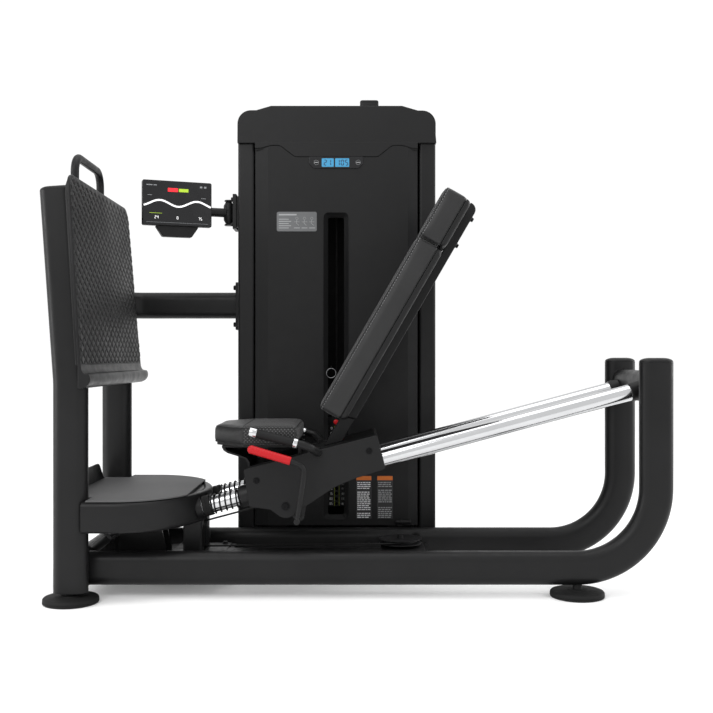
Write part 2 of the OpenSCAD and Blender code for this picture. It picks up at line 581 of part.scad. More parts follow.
module pulley_brackets() place() color([0.1, 0.1, 0.1]) {
    // pin of the front pulley
    tube_y(p1x, p1z, 6, -40, 40);
    // bracket, pin, washers and nut of the deflection pulley
    translate([80, -28, 86]) cube([140, 200, 6]);
    translate([143, 95, 92]) {
        cylinder(r = 6, h = 32);
        cylinder(r = 14, h = 10.8);
        translate([0, 0, 27.2]) cylinder(r = 12, h = 3);
        translate([0, 0, 30.2]) cylinder(r = 9, h = 7, $fn = 6);
    }
    // bracket and pin of the tower's low pulley
    translate([186, 317, 90]) cube([3, 16, 80]);
    translate([211, 317, 90]) cube([3.4, 16, 80]);
    tube_x(325, 156, 6, 184, 214.4);
    // pins of the top pulleys
    for (x = [-20, 150]) tube_y(x, 1440, 6, stack_y - 24, stack_y + 24);
}
// the cable leaves the top of the front pulley parallel to the rods
p1u = p1x * ca + (p1z - rod_z0) * sa;
cable_n = -p1x * sa + (p1z - rod_z0) * ca + 36;
anchor_u = -246;
module drive_cable() place() color([0.1, 0.1, 0.1]) on_rod(0) translate([p1u, 0, cable_n]) rotate([0, 90, 0])
    cylinder(r = cable_r, h = anchor_u - p1u, $fn = 16);
module run_cables() place() color([0.1, 0.1, 0.1]) {
    // front pulley to deflection pulley
    translate([p1x, 0, 110.9]) rotate([0, 0, atan2(38, 143 - p1x)]) rotate([0, 90, 0])
        cylinder(r = cable_r, h = norm([38, 143 - p1x]), $fn = 16);
    // deflection pulley to the tower's low pulley
    tube_y(200, 111, cable_r, 96, 324, 16);
    // up the tower, and across between the two top pulleys
    translate([200, stack_y, 157]) cylinder(r = cable_r, h = 1438 - 157, $fn = 16);
    tube_x(stack_y, 1490, cable_r, -18, 148, 16);
}
module stack_cable() place() color([0.1, 0.1, 0.1]) translate([stack_x, stack_y, head_z0 + 100])
    cylinder(r = cable_r, h = 1438 - head_z0 - 100, $fn = 16);

// --- carriage -------------------------------------------------------------
pivot_x = -174;
pivot_z = 230;
function side_outline() = concat([[-340, 371], [62, 475], [88, 373], [-1.5, 345], [-62, 320], [-111, 288], [-150, 262]],
    arc(-213, 262, 37, -14, -120, 8), [[-258, 250], [-323, 259]]);
module carriage_side_plates() place() color([0.1, 0.1, 0.105]) for (s = [-1, 1]) difference() {
    xz(s > 0 ? side_y - side_t : -side_y, s > 0 ? side_y : -side_y + side_t) polygon(side_outline());
    tube_y(-213, 261, 8.2, s * side_y - 20, s * side_y + 20);
}
side_in = side_y - side_t;
housing_u = [[-364.6, -270], [-50, 40]];
module carriage_frame() place() color(black) {
    // bearing housings, each with a block up to the deck
    for (s = [-1, 1]) for (h = housing_u) difference() {
        union() {
            rod_tube(s * rod_y, 33.5, h[0], h[1]);
            on_rod(s * rod_y) translate([h[0] + 42, -20, 20]) cube([48, 40, 50.1]);
        }
        rod_tube(s * rod_y, 30, h[0] - 1, h[1] + 1);
    }
    // deck under the side plates' upper edge
    on_rod(0) translate([-326, -side_in, 70]) cube([404, 2 * side_in, 6]);
    // webs between the housings
    for (u = [-322, -20]) on_rod(0) translate([u, -88, -6]) cube([6, 176, 76.1]);
    // cross shaft in the lobes, with the cable anchor
    tube_y(-213, 261, 8, -side_y - 1.5, side_y + 1.5);
    on_rod(0) translate([anchor_u, -14, cable_n - 14]) cube([40, 28, 29]);
    // ears that hold the lever's shaft
    for (s = [-1, 1]) difference() {
        xz(s > 0 ? side_in - 6 : -side_in, s > 0 ? side_in : -side_in + 6)
            polygon([[-206, 256], [-206, 275], [-150, 275], [-158, 224], [-165, 216], [-183, 216], [-190, 224]]);
        tube_y(pivot_x, pivot_z, 7.56, s * side_in - 10, s * side_in + 10, 64);
        tube_y(-213, 261, 8, -200, 200);
    }
    // countersunk bolts of the side plates
    for (s = [-1, 1]) for (p = [[-301, 338], [38, 427]]) translate([p[0], s * side_y, p[1]]) rotate([s * -90, 0, 0]) cylinder(r1 = 7.5, r2 = 6, h = 1.5);
    // seat support, bent from plate, on the deck
    difference() {
        xz(-122, 122) polygon([[-410, 440], [-410, 434], [-404, 424], [-392, 416.5], [-364, 408], [-338, 398], [-331, 386], [-331, 368.4], [-170, 411.5], [-170, 440]]);
        xz(-123, 123) polygon([[-400, 434], [-398, 428], [-390, 421.5], [-362, 413], [-334, 402], [-325, 388], [-325, 376], [-178, 415.4], [-178, 434]]);
    }
}
module slide_bushes() place() color([0.75, 0.6, 0.3]) for (s = [-1, 1]) for (h = housing_u) difference() {
    rod_tube(s * rod_y, 29.95, h[0] + 2, h[1] - 2);
    rod_tube(s * rod_y, rod_r + bush_gap, h[0], h[1]);
}
module seat_pad() place() color([0.12, 0.12, 0.13]) translate([0, 0, 440]) {
    linear_extrude(12) polygon([[-428, -84], [-340, -176], [-188, -176], [-188, 176], [-340, 176], [-428, 84]]);
    translate([0, 0, 4]) linear_extrude(60) polygon([[-434, -82], [-430, -93], [-346, -184], [-334, -seat_half], [-192, -seat_half], [-180, -178],
        [-180, 178], [-192, seat_half], [-334, seat_half], [-346, 184], [-430, 93], [-434, 82]]);
}
// the back's frame: local Z runs up the back, local X is its rear normal
module on_back() translate([-110, 0, 557]) rotate([0, 30, 0]) children();
module backrest_frame() place() color(black) {
    on_back() difference() {
        translate([87, 0, 0]) rotate([90, 0, 0]) linear_extrude(60, center = true)
            polygon(concat([[0, 7.5], [28, 17]], arc(4, 763, 24, 0, 90, 8), [[0, 787]]));
        translate([90, 0, 0]) rotate([90, 0, 0]) linear_extrude(54, center = true)
            polygon(concat([[0, 12], [22, 19.5]], arc(2, 763, 20, 0, 90, 6), [[0, 783]]));
    }
    // spacer between the two pads' shells
    on_back() translate([72, -40, 585.5]) cube([15.5, 80, 19]);
    // foot of the frame on the deck
    difference() {
        on_back() translate([88, 0, -140]) rotate([90, 0, 0]) linear_extrude(52, center = true) polygon([[-18, 0], [25, 0], [25, 156.5], [0, 148.1], [0, 141], [-18, 141]]);
        on_rod(0) translate([-400, -200, -50]) cube([600, 400, 126]);
    }
    // bolts at the back of the head pad
    on_back() for (z = [650.6, 746]) translate([115, 0, z]) rotate([0, 90, 0]) bolt_head(6, 7);
}
module back_pads() place() color([0.12, 0.12, 0.13]) on_back() {
    translate([0, -back_half, 0]) cube([69, 2 * back_half, 586]);
    translate([0, -back_half, 604]) cube([69, 2 * back_half, 159]);
    // backing shells
    translate([69, -back_half + 1.5, 2]) cube([18, 2 * back_half - 3, 582]);
    translate([69, -back_half + 1.5, 606]) cube([18, 2 * back_half - 3, 155]);
}
ha = atan((487 - 456) / (304.5 - 180));
handle_y = 226;   // clear of the tower's front face, and of the lever's grip
module on_grip(s) translate([-304.5, s * handle_y, 487]) rotate([0, 90 + ha, 0]) children();
hx = -304.5 + 190 * cos(ha);
hz = 487 - 190 * sin(ha);
module handle_tubes() place() color([0.09, 0.09, 0.09]) for (s = [-1, 1]) {
    on_grip(s) cylinder(r = 12.6, h = 190);
    translate([hx, s * handle_y, hz]) sphere(r = 13.1, $fn = 48);
    translate([hx, s * handle_y, hz]) rotate([s * 90, 0, 0]) cylinder(r = 12.6, h = handle_y - 126);
    // foot on the deck
    difference() {
        translate([hx, s * 140, 400]) cylinder(r = 8, h = hz - 400);
        on_rod(0) translate([-400, -200, -50]) cube([600, 400, 126]);
    }
}
module handle_grips() place() color([0.05, 0.05, 0.05]) for (s = [-1, 1]) on_grip(s) translate([0, 0, 11.1]) difference() {
    cylinder(r = 13.7, h = 111.3);
    translate([0, 0, -1]) cylinder(r = 12.65, h = 114);
}
module grip_rings() place() color(steel) for (s = [-1, 1]) on_grip(s) {
    difference() {
        translate([0, 0, -11]) cylinder(r = 15.5, h = 22);
        cylinder(r = 12.65, h = 23);
    }
    translate([0, 0, 122.5]) difference() {
        cylinder(r = 15.5, h = 12);
        translate([0, 0, -1]) cylinder(r = 12.65, h = 14);
    }
}

// --- release lever --------------------------------------------------------
lever_y = -255;
// corner points of the bent rod, in X and Z
lever_pts = [[pivot_x, pivot_z], [-158, 335], [-156, 376], [-170, 396], [-192, 406.5]];
module release_lever() place() color([0.06, 0.06, 0.06]) {
    tube_y(pivot_x, pivot_z, 7.5, lever_y, side_y - 2);
    for (i = [0:3]) let (a = lever_pts[i], b = lever_pts[i + 1]) {
        translate([a[0], lever_y, a[1]]) sphere(r = 7.7, $fn = 32);
        translate([a[0], lever_y, a[1]]) rotate([0, atan2(b[0] - a[0], b[1] - a[1]), 0]) cylinder(r = 7.5, h = norm(b - a), $fn = 32);
    }
    // tang inside the grip, and the latch pawl under the seat
    translate([-192, lever_y, 406.5]) sphere(r = 7.7, $fn = 32);
    on_lever_grip() cylinder(r = 7.5, h = 90, $fn = 32);
    translate([pivot_x - 6, -40, pivot_z]) cube([12, 20, 38]);
}
module on_lever_grip() translate([-192, lever_y, 406.5]) rotate([0, atan2(-124, 36.5), 0]) children();
module lever_grip() place() color([0.8, 0.1, 0.1]) on_lever_grip() difference() {
    union() {
        cylinder(r = 12.5, h = 120);
        translate([0, 0, 120]) sphere(r = 12.5, $fn = 48);
    }
    translate([0, 0, -1]) cylinder(r = 7.55, h = 92, $fn = 32);
}

// --- console --------------------------------------------------------------
boss_x = -447;
boss_y = 330;
arm_a = 20.5;
module console_bracket() place() color([0.07, 0.07, 0.07]) {
    translate([-428, 285, 1153]) cube([12, 90, 120]);
    translate([-416, 292, 1160]) cube([416 + tower_x0, 76, 106]);
    for (y = [298, 362]) for (z = [1169, 1257]) translate([-428, y, z]) rotate([0, -90, 0]) bolt_head(6, 7);
    // ears and pin of the swivel
    for (z = [1168.5, 1252.5]) difference() {
        union() {
            translate([-447, 315, z]) cube([19, 30, 5]);
            translate([boss_x, boss_y, z]) cylinder(r = 15, h = 5);
        }
    }
    translate([boss_x, boss_y, 1168.5]) cylinder(r = 6, h = 89);
}
module console_arm() place() color([0.08, 0.08, 0.08]) {
    difference() {
        union() {
            translate([boss_x, boss_y, 1174]) {
                cylinder(r1 = 10, r2 = 18, h = 14);
                translate([0, 0, 14]) cylinder(r = 18, h = 50);
                translate([0, 0, 64]) cylinder(r1 = 18, r2 = 10, h = 14);
            }
            translate([boss_x, boss_y, 1213]) rotate([0, 0, 180 + arm_a]) rotate([0, 90, 0]) cylinder(r = 15.5, h = 222);
        }
        translate([boss_x, boss_y, 1160]) cylinder(r = 6.05, h = 120);
    }
}
module console_screen() place() color([0.06, 0.06, 0.07]) translate([-603.6, 204, 1227.1]) rotate([0, 0, arm_a]) {
    xz(0, 24) polygon(round_rect(233.7, 151.3, 5));
    xz(8, 34) polygon([[-60, -70], [-72, -76.2], [-48, -112], [50, -112], [74, -76.2], [60, -70]]);
    // clamp sleeve on the arm, with its web
    difference() {
        union() {
            translate([-24, 23.9, -28]) cube([48, 24, 28]);
            translate([-24, 63.2, -14.1]) rotate([0, 90, 0]) cylinder(r = 23, h = 48);
        }
        translate([-30, 63.2, -14.1]) rotate([0, 90, 0]) cylinder(r = 15.56, h = 60, $fn = 64);
    }
}

rail_near();
rail_far();
front_cross_tube();
footplate_posts();
tube_caps();
upper_crossbar();
guide_rods();
rod_collars();
rod_bumper_rings();
bumper_springs();
rod_column();
base_cross_frame();
step_platform();
step_mat();
kick_plate();
footplate();
footplate_tread();
footplate_brackets();
footplate_handle();
foot_discs();
link_tube();
tower_base();
tower_sides();
tower_top_beam();
shroud_front();
shroud_rear();
tower_cap();
display_module();
info_plates();
barrel_socket();
sensor_box();
stack_guide_rods();
stack_plates();
stack_bumpers();
stack_head();
selector_pin();
pulley_brackets();
front_pulley();
deflection_pulley();
tower_low_pulley();
top_pulley_right();
top_pulley_left();
drive_cable();
run_cables();
stack_cable();
carriage_side_plates();
carriage_frame();
slide_bushes();
seat_pad();
backrest_frame();
back_pads();
handle_tubes();
handle_grips();
grip_rings();
release_lever();
lever_grip();
console_bracket();
console_arm();
console_screen();
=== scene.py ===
import math
import bpy, bmesh
import numpy as np
from mathutils import Vector, Matrix
from mathutils.bvhtree import BVHTree


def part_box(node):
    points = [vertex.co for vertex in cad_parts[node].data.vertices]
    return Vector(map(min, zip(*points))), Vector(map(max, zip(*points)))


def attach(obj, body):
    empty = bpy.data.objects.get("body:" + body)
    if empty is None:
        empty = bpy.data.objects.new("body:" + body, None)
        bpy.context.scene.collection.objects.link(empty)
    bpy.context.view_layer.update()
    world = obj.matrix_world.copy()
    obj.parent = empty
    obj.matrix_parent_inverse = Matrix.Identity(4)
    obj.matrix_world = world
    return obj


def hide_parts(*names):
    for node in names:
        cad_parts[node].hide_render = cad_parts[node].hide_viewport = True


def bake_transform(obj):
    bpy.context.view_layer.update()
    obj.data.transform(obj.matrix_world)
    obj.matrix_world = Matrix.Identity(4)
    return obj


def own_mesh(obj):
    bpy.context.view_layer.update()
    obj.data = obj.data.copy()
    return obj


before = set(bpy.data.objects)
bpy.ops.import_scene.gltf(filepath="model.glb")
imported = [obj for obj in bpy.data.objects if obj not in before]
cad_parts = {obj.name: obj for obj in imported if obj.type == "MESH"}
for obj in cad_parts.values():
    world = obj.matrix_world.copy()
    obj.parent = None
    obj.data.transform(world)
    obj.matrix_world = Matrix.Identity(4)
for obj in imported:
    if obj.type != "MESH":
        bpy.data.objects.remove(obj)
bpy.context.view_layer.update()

scene = bpy.context.scene
_lo, _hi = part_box("seat_pad")
OX, OY = -0.434 - _lo.x, -0.190 - _lo.y
I4 = Matrix.Identity(4)


def P(p):
    return Vector((p[0] / 1000 - OX, p[1] / 1000 - OY, p[2] / 1000))


def T(x, y, z):
    return Matrix.Translation((x, y, z))


def R(a, ax):
    return Matrix.Rotation(math.radians(a), 4, ax)


ROD = T(0, 0, 378.4) @ R(-15, 'Y')
BACK = T(-110, 0, 557) @ R(30, 'Y')
PLATE = T(-766.4, 0, 683) @ R(-4.27, 'Y')

# ------------------------------------------------------------------ materials
MATS = {}


class NT:
    def __init__(self, name):
        self.m = bpy.data.materials.new(name)
        self.m.use_nodes = True
        self.t = self.m.node_tree
        self.t.nodes.clear()
        self.out = self.n("ShaderNodeOutputMaterial")
        self.b = self.n("ShaderNodeBsdfPrincipled")
        self.t.links.new(self.b.outputs[0], self.out.inputs[0])
        self.co = self.n("ShaderNodeTexCoord").outputs["Object"]

    def n(self, kind, **kw):
        node = self.t.nodes.new(kind)
        for k, v in kw.items():
            setattr(node, k, v)
        return node

    def link(self, a, b):
        self.t.links.new(a, b)

    def math(self, op, a, b=None, c=None, clamp=False):
        m = self.n("ShaderNodeMath", operation=op, use_clamp=clamp)
        for i, v in enumerate((a, b, c)):
            if v is None:
                continue
            if isinstance(v, (int, float)):
                m.inputs[i].default_value = v
            else:
                self.link(v, m.inputs[i])
        return m.outputs[0]

    def noise(self, scale, detail=2.0, rough=0.5, vec=None):
        x = self.n("ShaderNodeTexNoise")
        x.inputs["Scale"].default_value = scale
        x.inputs["Detail"].default_value = detail
        x.inputs["Roughness"].default_value = rough
        self.link(vec or self.co, x.inputs["Vector"])
        return x.outputs["Fac"]

    def voronoi(self, scale, feature="F1", rand=1.0, vec=None):
        x = self.n("ShaderNodeTexVoronoi", feature=feature)
        x.inputs["Scale"].default_value = scale
        x.inputs["Randomness"].default_value = rand
        self.link(vec or self.co, x.inputs["Vector"])
        return x.outputs["Distance"]

    def rng(self, v, a, b, c, d):
        x = self.n("ShaderNodeMapRange")
        for i, q in enumerate((a, b, c, d)):
            x.inputs[i + 1].default_value = q
        self.link(v, x.inputs[0])
        return x.outputs[0]

    def mixc(self, fac, c1, c2):
        x = self.n("ShaderNodeMix", data_type="RGBA")
        self.link(fac, x.inputs[0])
        for sock, c in ((x.inputs[6], c1), (x.inputs[7], c2)):
            if isinstance(c, (tuple, list)):
                sock.default_value = (*c, 1)
            else:
                self.link(c, sock)
        return x.outputs[2]

    def xyz(self):
        s = self.n("ShaderNodeSeparateXYZ")
        self.link(self.co, s.inputs[0])
        return s.outputs

    def bump(self, height, strength=0.3, dist=0.0005, normal=None):
        x = self.n("ShaderNodeBump")
        x.inputs["Strength"].default_value = strength
        x.inputs["Distance"].default_value = dist
        self.link(height, x.inputs["Height"])
        if normal is not None:
            self.link(normal, x.inputs["Normal"])
        return x.outputs[0]

    def bevel(self, radius):
        x = self.n("ShaderNodeBevel", samples=4)
        x.inputs["Radius"].default_value = radius
        return x.outputs[0]

    def set(self, **kw):
        for k, v in kw.items():
            s = self.b.inputs[k.replace("_", " ")]
            if isinstance(v, (int, float)):
                s.default_value = v
            elif isinstance(v, (tuple, list)):
                s.default_value = (*v, 1) if len(v) == 3 else v
            else:
                self.link(v, s)


def edge_mask(k, radius=0.003):
    """1 on sharp outer edges, 0 on flats."""
    g = k.n("ShaderNodeNewGeometry")
    d = k.n("ShaderNodeVectorMath", operation="DOT_PRODUCT")
    b = k.bevel(radius)
    k.link(b, d.inputs[0])
    k.link(g.outputs["Normal"], d.inputs[1])
    return k.rng(d.outputs["Value"], 0.999, 0.86, 0.0, 1.0)


def coated(name, col, rough, grain=900, gs=0.10, bevel=0.0016, var=0.18, wear=0.35, rvar=0.08, spec=0.2, big=5.0):
    """Painted or moulded surface: fine grain, slow tone and gloss changes, slightly rubbed edges."""
    if max(col) < 0.03:
        col = tuple(c * 0.55 for c in col)
    k = NT(name)
    slow = k.noise(big, 3)
    fine = k.noise(grain, 2, 0.6)
    smear = k.noise(28, 4, 0.65)
    dark = tuple(c * (1 - var) for c in col)
    lite = tuple(c * (1 + var) for c in col)
    base = k.mixc(k.rng(slow, 0.3, 0.7, 0, 1), dark, lite)
    em = k.math("MULTIPLY", edge_mask(k), k.rng(smear, 0.35, 0.75, 0.1, 1.0))
    em = k.math("MULTIPLY", em, wear)
    base = k.mixc(em, base, tuple(min(1, c * 3.2 + 0.01) for c in col))
    rg = k.math("ADD", k.rng(smear, 0.3, 0.7, rough - rvar, rough + rvar), k.rng(fine, 0.3, 0.7, -0.03, 0.03))
    k.set(Base_Color=base, Roughness=rg, Specular_IOR_Level=spec)
    k.set(Normal=k.bump(fine, gs, 0.0004, k.bevel(bevel)))
    MATS[name] = k.m
    return k.m


M_FRAME = coated("satin_powder_coat", (0.0125, 0.0125, 0.013), 0.40, 1100, 0.10)
M_PLATE = coated("textured_powder_coat", (0.012, 0.012, 0.0125), 0.55, 700, 0.35)
M_SHROUD = coated("shroud_abs", (0.0115, 0.0115, 0.012), 0.50, 1500, 0.14, 0.0016, 0.10, 0.2, 0.05)
M_CAP = coated("cap_abs", (0.0125, 0.0125, 0.013), 0.46, 1500, 0.14, 0.0022, 0.10, 0.25, 0.05)
M_PLASTIC = coated("moulded_black", (0.010, 0.010, 0.0105), 0.45, 1300, 0.15)
M_RUBBER = coated("rubber_black", (0.012, 0.012, 0.012), 0.72, 1600, 0.25, 0.001, 0.2, 0.15)
M_IRON = coated("cast_iron_paint", (0.011, 0.011, 0.0115), 0.5, 380, 0.5, 0.002, 0.25, 0.5, 0.1)
M_NYLON = coated("nylon_sheave", (0.02, 0.02, 0.021), 0.42, 1200, 0.08)
M_SPRING = coated("spring_coat", (0.012, 0.012, 0.013), 0.32, 1400, 0.1, 0.0004, 0.1, 0.1)
M_GRIP = coated("grip_rubber", (0.011, 0.011, 0.0115), 0.6, 1700, 0.35, 0.0008)
M_RED = coated("red_grip", (0.40, 0.008, 0.012), 0.36, 1500, 0.10, 0.001, 0.08, 0.1, 0.06)
M_WHITE = coated("white_print", (0.72, 0.73, 0.74), 0.5, 1500, 0.05, 0.0003, 0.05, 0.0)
M_GREYPRINT = coated("grey_print", (0.30, 0.305, 0.31), 0.5, 1500, 0.05, 0.0003, 0.1, 0.0)
M_ORANGE = coated("orange_print", (0.62, 0.16, 0.03), 0.5, 1500, 0.05, 0.0003, 0.1, 0.0)
M_LIME = coated("lime_print", (0.20, 0.24, 0.02), 0.5, 1500, 0.05, 0.0003, 0.1, 0.0)
M_PLACARD = coated("placard_film", (0.12, 0.123, 0.126), 0.38, 1200, 0.05, 0.0004, 0.15, 0.1)
M_BRONZE = coated("bearing_bronze", (0.35, 0.2, 0.07), 0.35, 900, 0.1)
MATS["bearing_bronze"].node_tree.nodes["Principled BSDF"].inputs["Metallic"].default_value = 1.0
M_DECAL = coated("decal_film", (0.035, 0.035, 0.036), 0.42, 1300, 0.05, 0.0003, 0.1, 0.05)
M_CABLE = coated("cable_coat", (0.01, 0.01, 0.01), 0.4, 2200, 0.2, 0.0003)


def metal(name, col, rough, scratch=0.05):
    k = NT(name)
    st = k.n("ShaderNodeMapping")
    k.link(k.co, st.inputs["Vector"])
    st.inputs["Scale"].default_value = (1.0, 18.0, 18.0)
    st.inputs["Rotation"].default_value = (0, math.radians(15), 0)
    fine = k.noise(60, 4, 0.6, st.outputs[0])
    slow = k.noise(7, 3)
    k.set(Base_Color=k.mixc(k.rng(slow, .3, .7, 0, 1), tuple(c * 0.94 for c in col), col), Metallic=1.0,
          Roughness=k.rng(fine, 0.3, 0.75, rough * 0.7, rough * 1.6))
    k.set(Normal=k.bump(fine, scratch, 0.0002, k.bevel(0.0008)))
    MATS[name] = k.m
    return k.m


M_CHROME = metal("polished_chrome", (0.58, 0.585, 0.595), 0.12, 0.03)
M_ZINC = metal("zinc_bolt", (0.32, 0.325, 0.335), 0.30, 0.10)
M_DKBOLT = metal("black_oxide", (0.014, 0.014, 0.0145), 0.42, 0.10)


def vinyl(name, dimple_from=None):
    """Black upholstery vinyl; dimple_from = (point_mm, normal): dimpled cloth on that side of the plane, its dot tops
    painted lighter as a painted highlight.
    """
    k = NT(name)
    grain = k.voronoi(950, "DISTANCE_TO_EDGE")
    fine = k.noise(2600, 2)
    slow = k.noise(9, 3)
    crease = k.noise(38, 5, 0.6)
    h = k.math("ADD", k.rng(grain, 0.0, 0.12, 0.0, 0.6), k.math("MULTIPLY", fine, 0.3))
    base = k.mixc(k.rng(slow, .3, .7, 0, 1), (0.0075, 0.0075, 0.0078), (0.011, 0.011, 0.0113))
    rough = k.rng(crease, 0.3, 0.7, 0.40, 0.54)
    if dimple_from is None:
        k.set(Base_Color=base, Roughness=rough, Specular_IOR_Level=0.32)
        k.set(Normal=k.bump(h, 0.22, 0.0004))
    else:
        p, nrm, mtx = dimple_from
        # signed distance to the plane
        d = k.n("ShaderNodeVectorMath", operation="DOT_PRODUCT")
        k.link(k.co, d.inputs[0])
        nn = Vector(nrm).normalized()
        d.inputs[1].default_value = nn
        off = P(p).dot(nn)
        mask = k.rng(k.math("SUBTRACT", d.outputs["Value"], off), -0.0004, 0.0004, 0, 1)
        # dots on three planes of the piece's own axes, picked by the facing
        mp = k.n("ShaderNodeMapping")
        k.link(k.co, mp.inputs["Vector"])
        mp.inputs["Rotation"].default_value = mtx
        sx = k.n("ShaderNodeSeparateXYZ")
        k.link(mp.outputs[0], sx.inputs[0])
        g = k.n("ShaderNodeNewGeometry")
        mn = k.n("ShaderNodeMapping", vector_type="NORMAL")
        mn.inputs["Rotation"].default_value = mtx
        k.link(g.outputs["Normal"], mn.inputs["Vector"])
        sn = k.n("ShaderNodeSeparateXYZ")
        k.link(mn.outputs[0], sn.inputs[0])
        K = math.pi / 0.0105

        def dots(u, v):
            a = k.math("SINE", k.math("MULTIPLY", k.math("ADD", u, v), K))
            b = k.math("SINE", k.math("MULTIPLY", k.math("SUBTRACT", u, v), K))
            return k.math("MULTIPLY", a, b)
        wx, wy, wz = (k.math("POWER", k.math("ABSOLUTE", sn.outputs[i]), 6) for i in range(3))
        X, Y, Z = sx.outputs
        tot = k.math("ADD", k.math("ADD", wx, wy), k.math("ADD", wz, 1e-4))
        dd = k.math("DIVIDE", k.math("ADD", k.math("ADD", k.math("MULTIPLY", dots(Y, Z), wx), k.math("MULTIPLY", dots(X, Z), wy)),
                                     k.math("MULTIPLY", dots(X, Y), wz)), tot)
        pit = k.rng(k.math("ABSOLUTE", dd), 0.50, 0.85, 0.0, 1.0)
        hh = k.math("ADD", k.math("MULTIPLY", pit, 1.0), k.math("MULTIPLY", fine, 0.10))
        n1 = k.bump(h, 0.22, 0.0004)
        n2 = k.bump(hh, 0.9, 0.0012)
        mixn = k.n("ShaderNodeMix", data_type="VECTOR")
        k.link(mask, mixn.inputs[0])
        k.link(n1, mixn.inputs[4])
        k.link(n2, mixn.inputs[5])
        # painted highlight: the dot tops are painted lighter than the black cloth; the dimples' relief itself is real,
        # from the bump map
        cloth = k.mixc(pit, (0.003, 0.003, 0.0031), (0.075, 0.075, 0.076))
        k.set(Base_Color=k.mixc(mask, base, cloth), Roughness=k.math("ADD", rough, k.math("MULTIPLY", mask, 0.10)), Specular_IOR_Level=0.36)
        k.set(Normal=mixn.outputs[1])
    k.set(Sheen_Weight=0.12, Sheen_Roughness=0.4)
    MATS[name] = k.m
    return k.m


M_VINYL = vinyl("black_vinyl")
M_SEAT = vinyl("seat_vinyl", ((-337, 0, 0), (1, 0, 0), (0, 0, 0)))
M_BACKV = vinyl("back_vinyl", (BACK @ Vector((7, 0, 0)), BACK.to_3x3() @ Vector((-1, 0, 0)), (0, math.radians(-30), 0)))


def mat_material():
    k = NT("step_mat_rubber")
    x, y, z = k.xyz()
    rib = k.math("SINE", k.math("MULTIPLY", y, 2 * math.pi / 0.009))
    fine = k.noise(1500, 2)
    slow = k.noise(6, 4)
    h = k.math("ADD", k.rng(rib, -0.4, 0.4, 0, 1), k.math("MULTIPLY", fine, 0.3))
    k.set(Base_Color=k.mixc(k.rng(slow, .3, .7, 0, 1), (0.055, 0.055, 0.056), (0.072, 0.072, 0.073)), Roughness=k.rng(slow, .3, .7, 0.62, 0.75))
    k.set(Normal=k.bump(h, 0.35, 0.0008, k.bevel(0.001)))
    return k.m


M_MAT = mat_material()


def tread_material():
    k = NT("tread_rubber")
    fine = k.noise(1300, 3, 0.6)
    slow = k.noise(7, 4)
    em = k.math("MULTIPLY", edge_mask(k, 0.002), 0.5)
    base = k.mixc(k.rng(slow, .3, .7, 0, 1), (0.010, 0.010, 0.0103), (0.014, 0.014, 0.0144))
    k.set(Base_Color=k.mixc(em, base, (0.04, 0.04, 0.041)), Roughness=k.rng(slow, .3, .7, 0.42, 0.56), Specular_IOR_Level=0.3)
    k.set(Normal=k.bump(fine, 0.25, 0.0005, k.bevel(0.0012)))
    return k.m


M_TREAD = tread_material()


def glow(name, col, strength, rough=0.25):
    k = NT(name)
    v = k.voronoi(1400, "F1", 0.0)
    base = k.mixc(k.rng(v, 0.2, 0.6, 0, 1), col, tuple(c * 0.8 for c in col))
    k.set(Base_Color=base, Roughness=k.rng(k.noise(400, 2), .3, .7, rough - 0.05, rough + 0.05))
    k.set(Emission_Color=base, Emission_Strength=strength)
    return k.m


M_LCD = glow("lcd_blue", (0.03, 0.21, 0.38), 0.5)
M_DIGIT = glow("lcd_digit", (0.004, 0.02, 0.06), 0.0)
M_SWHITE = glow("screen_white", (0.9, 0.9, 0.9), 0.6)
M_SRED = glow("screen_red", (0.75, 0.01, 0.02), 0.9)
M_SGREEN = glow("screen_green", (0.32, 0.48, 0.02), 0.7)
M_SGREY = glow("screen_grey", (0.25, 0.26, 0.27), 0.1)


def glass_black(name):
    k = NT(name)
    smear = k.noise(20, 5, 0.7)
    k.set(Base_Color=k.mixc(k.rng(smear, .3, .7, 0, 1), (0.004, 0.004, 0.005), (0.007, 0.007, 0.008)), Roughness=k.rng(smear, .35, .7, 0.06, 0.16),
          Coat_Weight=0.1, Coat_Roughness=0.05, Specular_IOR_Level=0.3)
    k.set(Normal=k.bump(k.noise(900, 1), 0.02, 0.0002))
    return k.m


M_GLASS = glass_black("screen_glass")

# ------------------------------------------------------------------ mesh tools


def make(name, verts, faces, mat, body="root", M=I4, sharp=35, bevel=0, seg=3, sub=0, rep=(), sl=None, weld=False):
    me = bpy.data.meshes.new(name)
    me.from_pydata([P(M @ Vector(v)) for v in verts], [], [list(f) for f in faces])
    bm = bmesh.new()
    bm.from_mesh(me)
    if weld:
        bmesh.ops.remove_doubles(bm, verts=bm.verts, dist=1e-6)
    bmesh.ops.recalc_face_normals(bm, faces=bm.faces)
    bm.to_mesh(me)
    bm.free()
    me.shade_smooth()
    me.set_sharp_from_angle(angle=math.radians(sharp))
    me.materials.append(mat)
    o = bpy.data.objects.new(name, me)
    scene.collection.objects.link(o)
    if bevel:
        b = o.modifiers.new("bevel", "BEVEL")
        b.width = bevel / 1000
        b.segments = seg
        b.limit_method = "ANGLE"
        b.angle_limit = math.radians(28)
        b.harden_normals = True
    if sub:
        s = o.modifiers.new("sub", "SUBSURF")
        s.levels = s.render_levels = sub
    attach(o, body)
    if rep:
        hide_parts(*rep)
    return o


def join_geo(parts):
    vs, fs = [], []
    for v, f in parts:
        n = len(vs)
        vs += [tuple(q) for q in v]
        fs += [[i + n for i in face] for face in f]
    return vs, fs


def xf(geo, M):
    return [tuple(M @ Vector(v)) for v in geo[0]], geo[1]


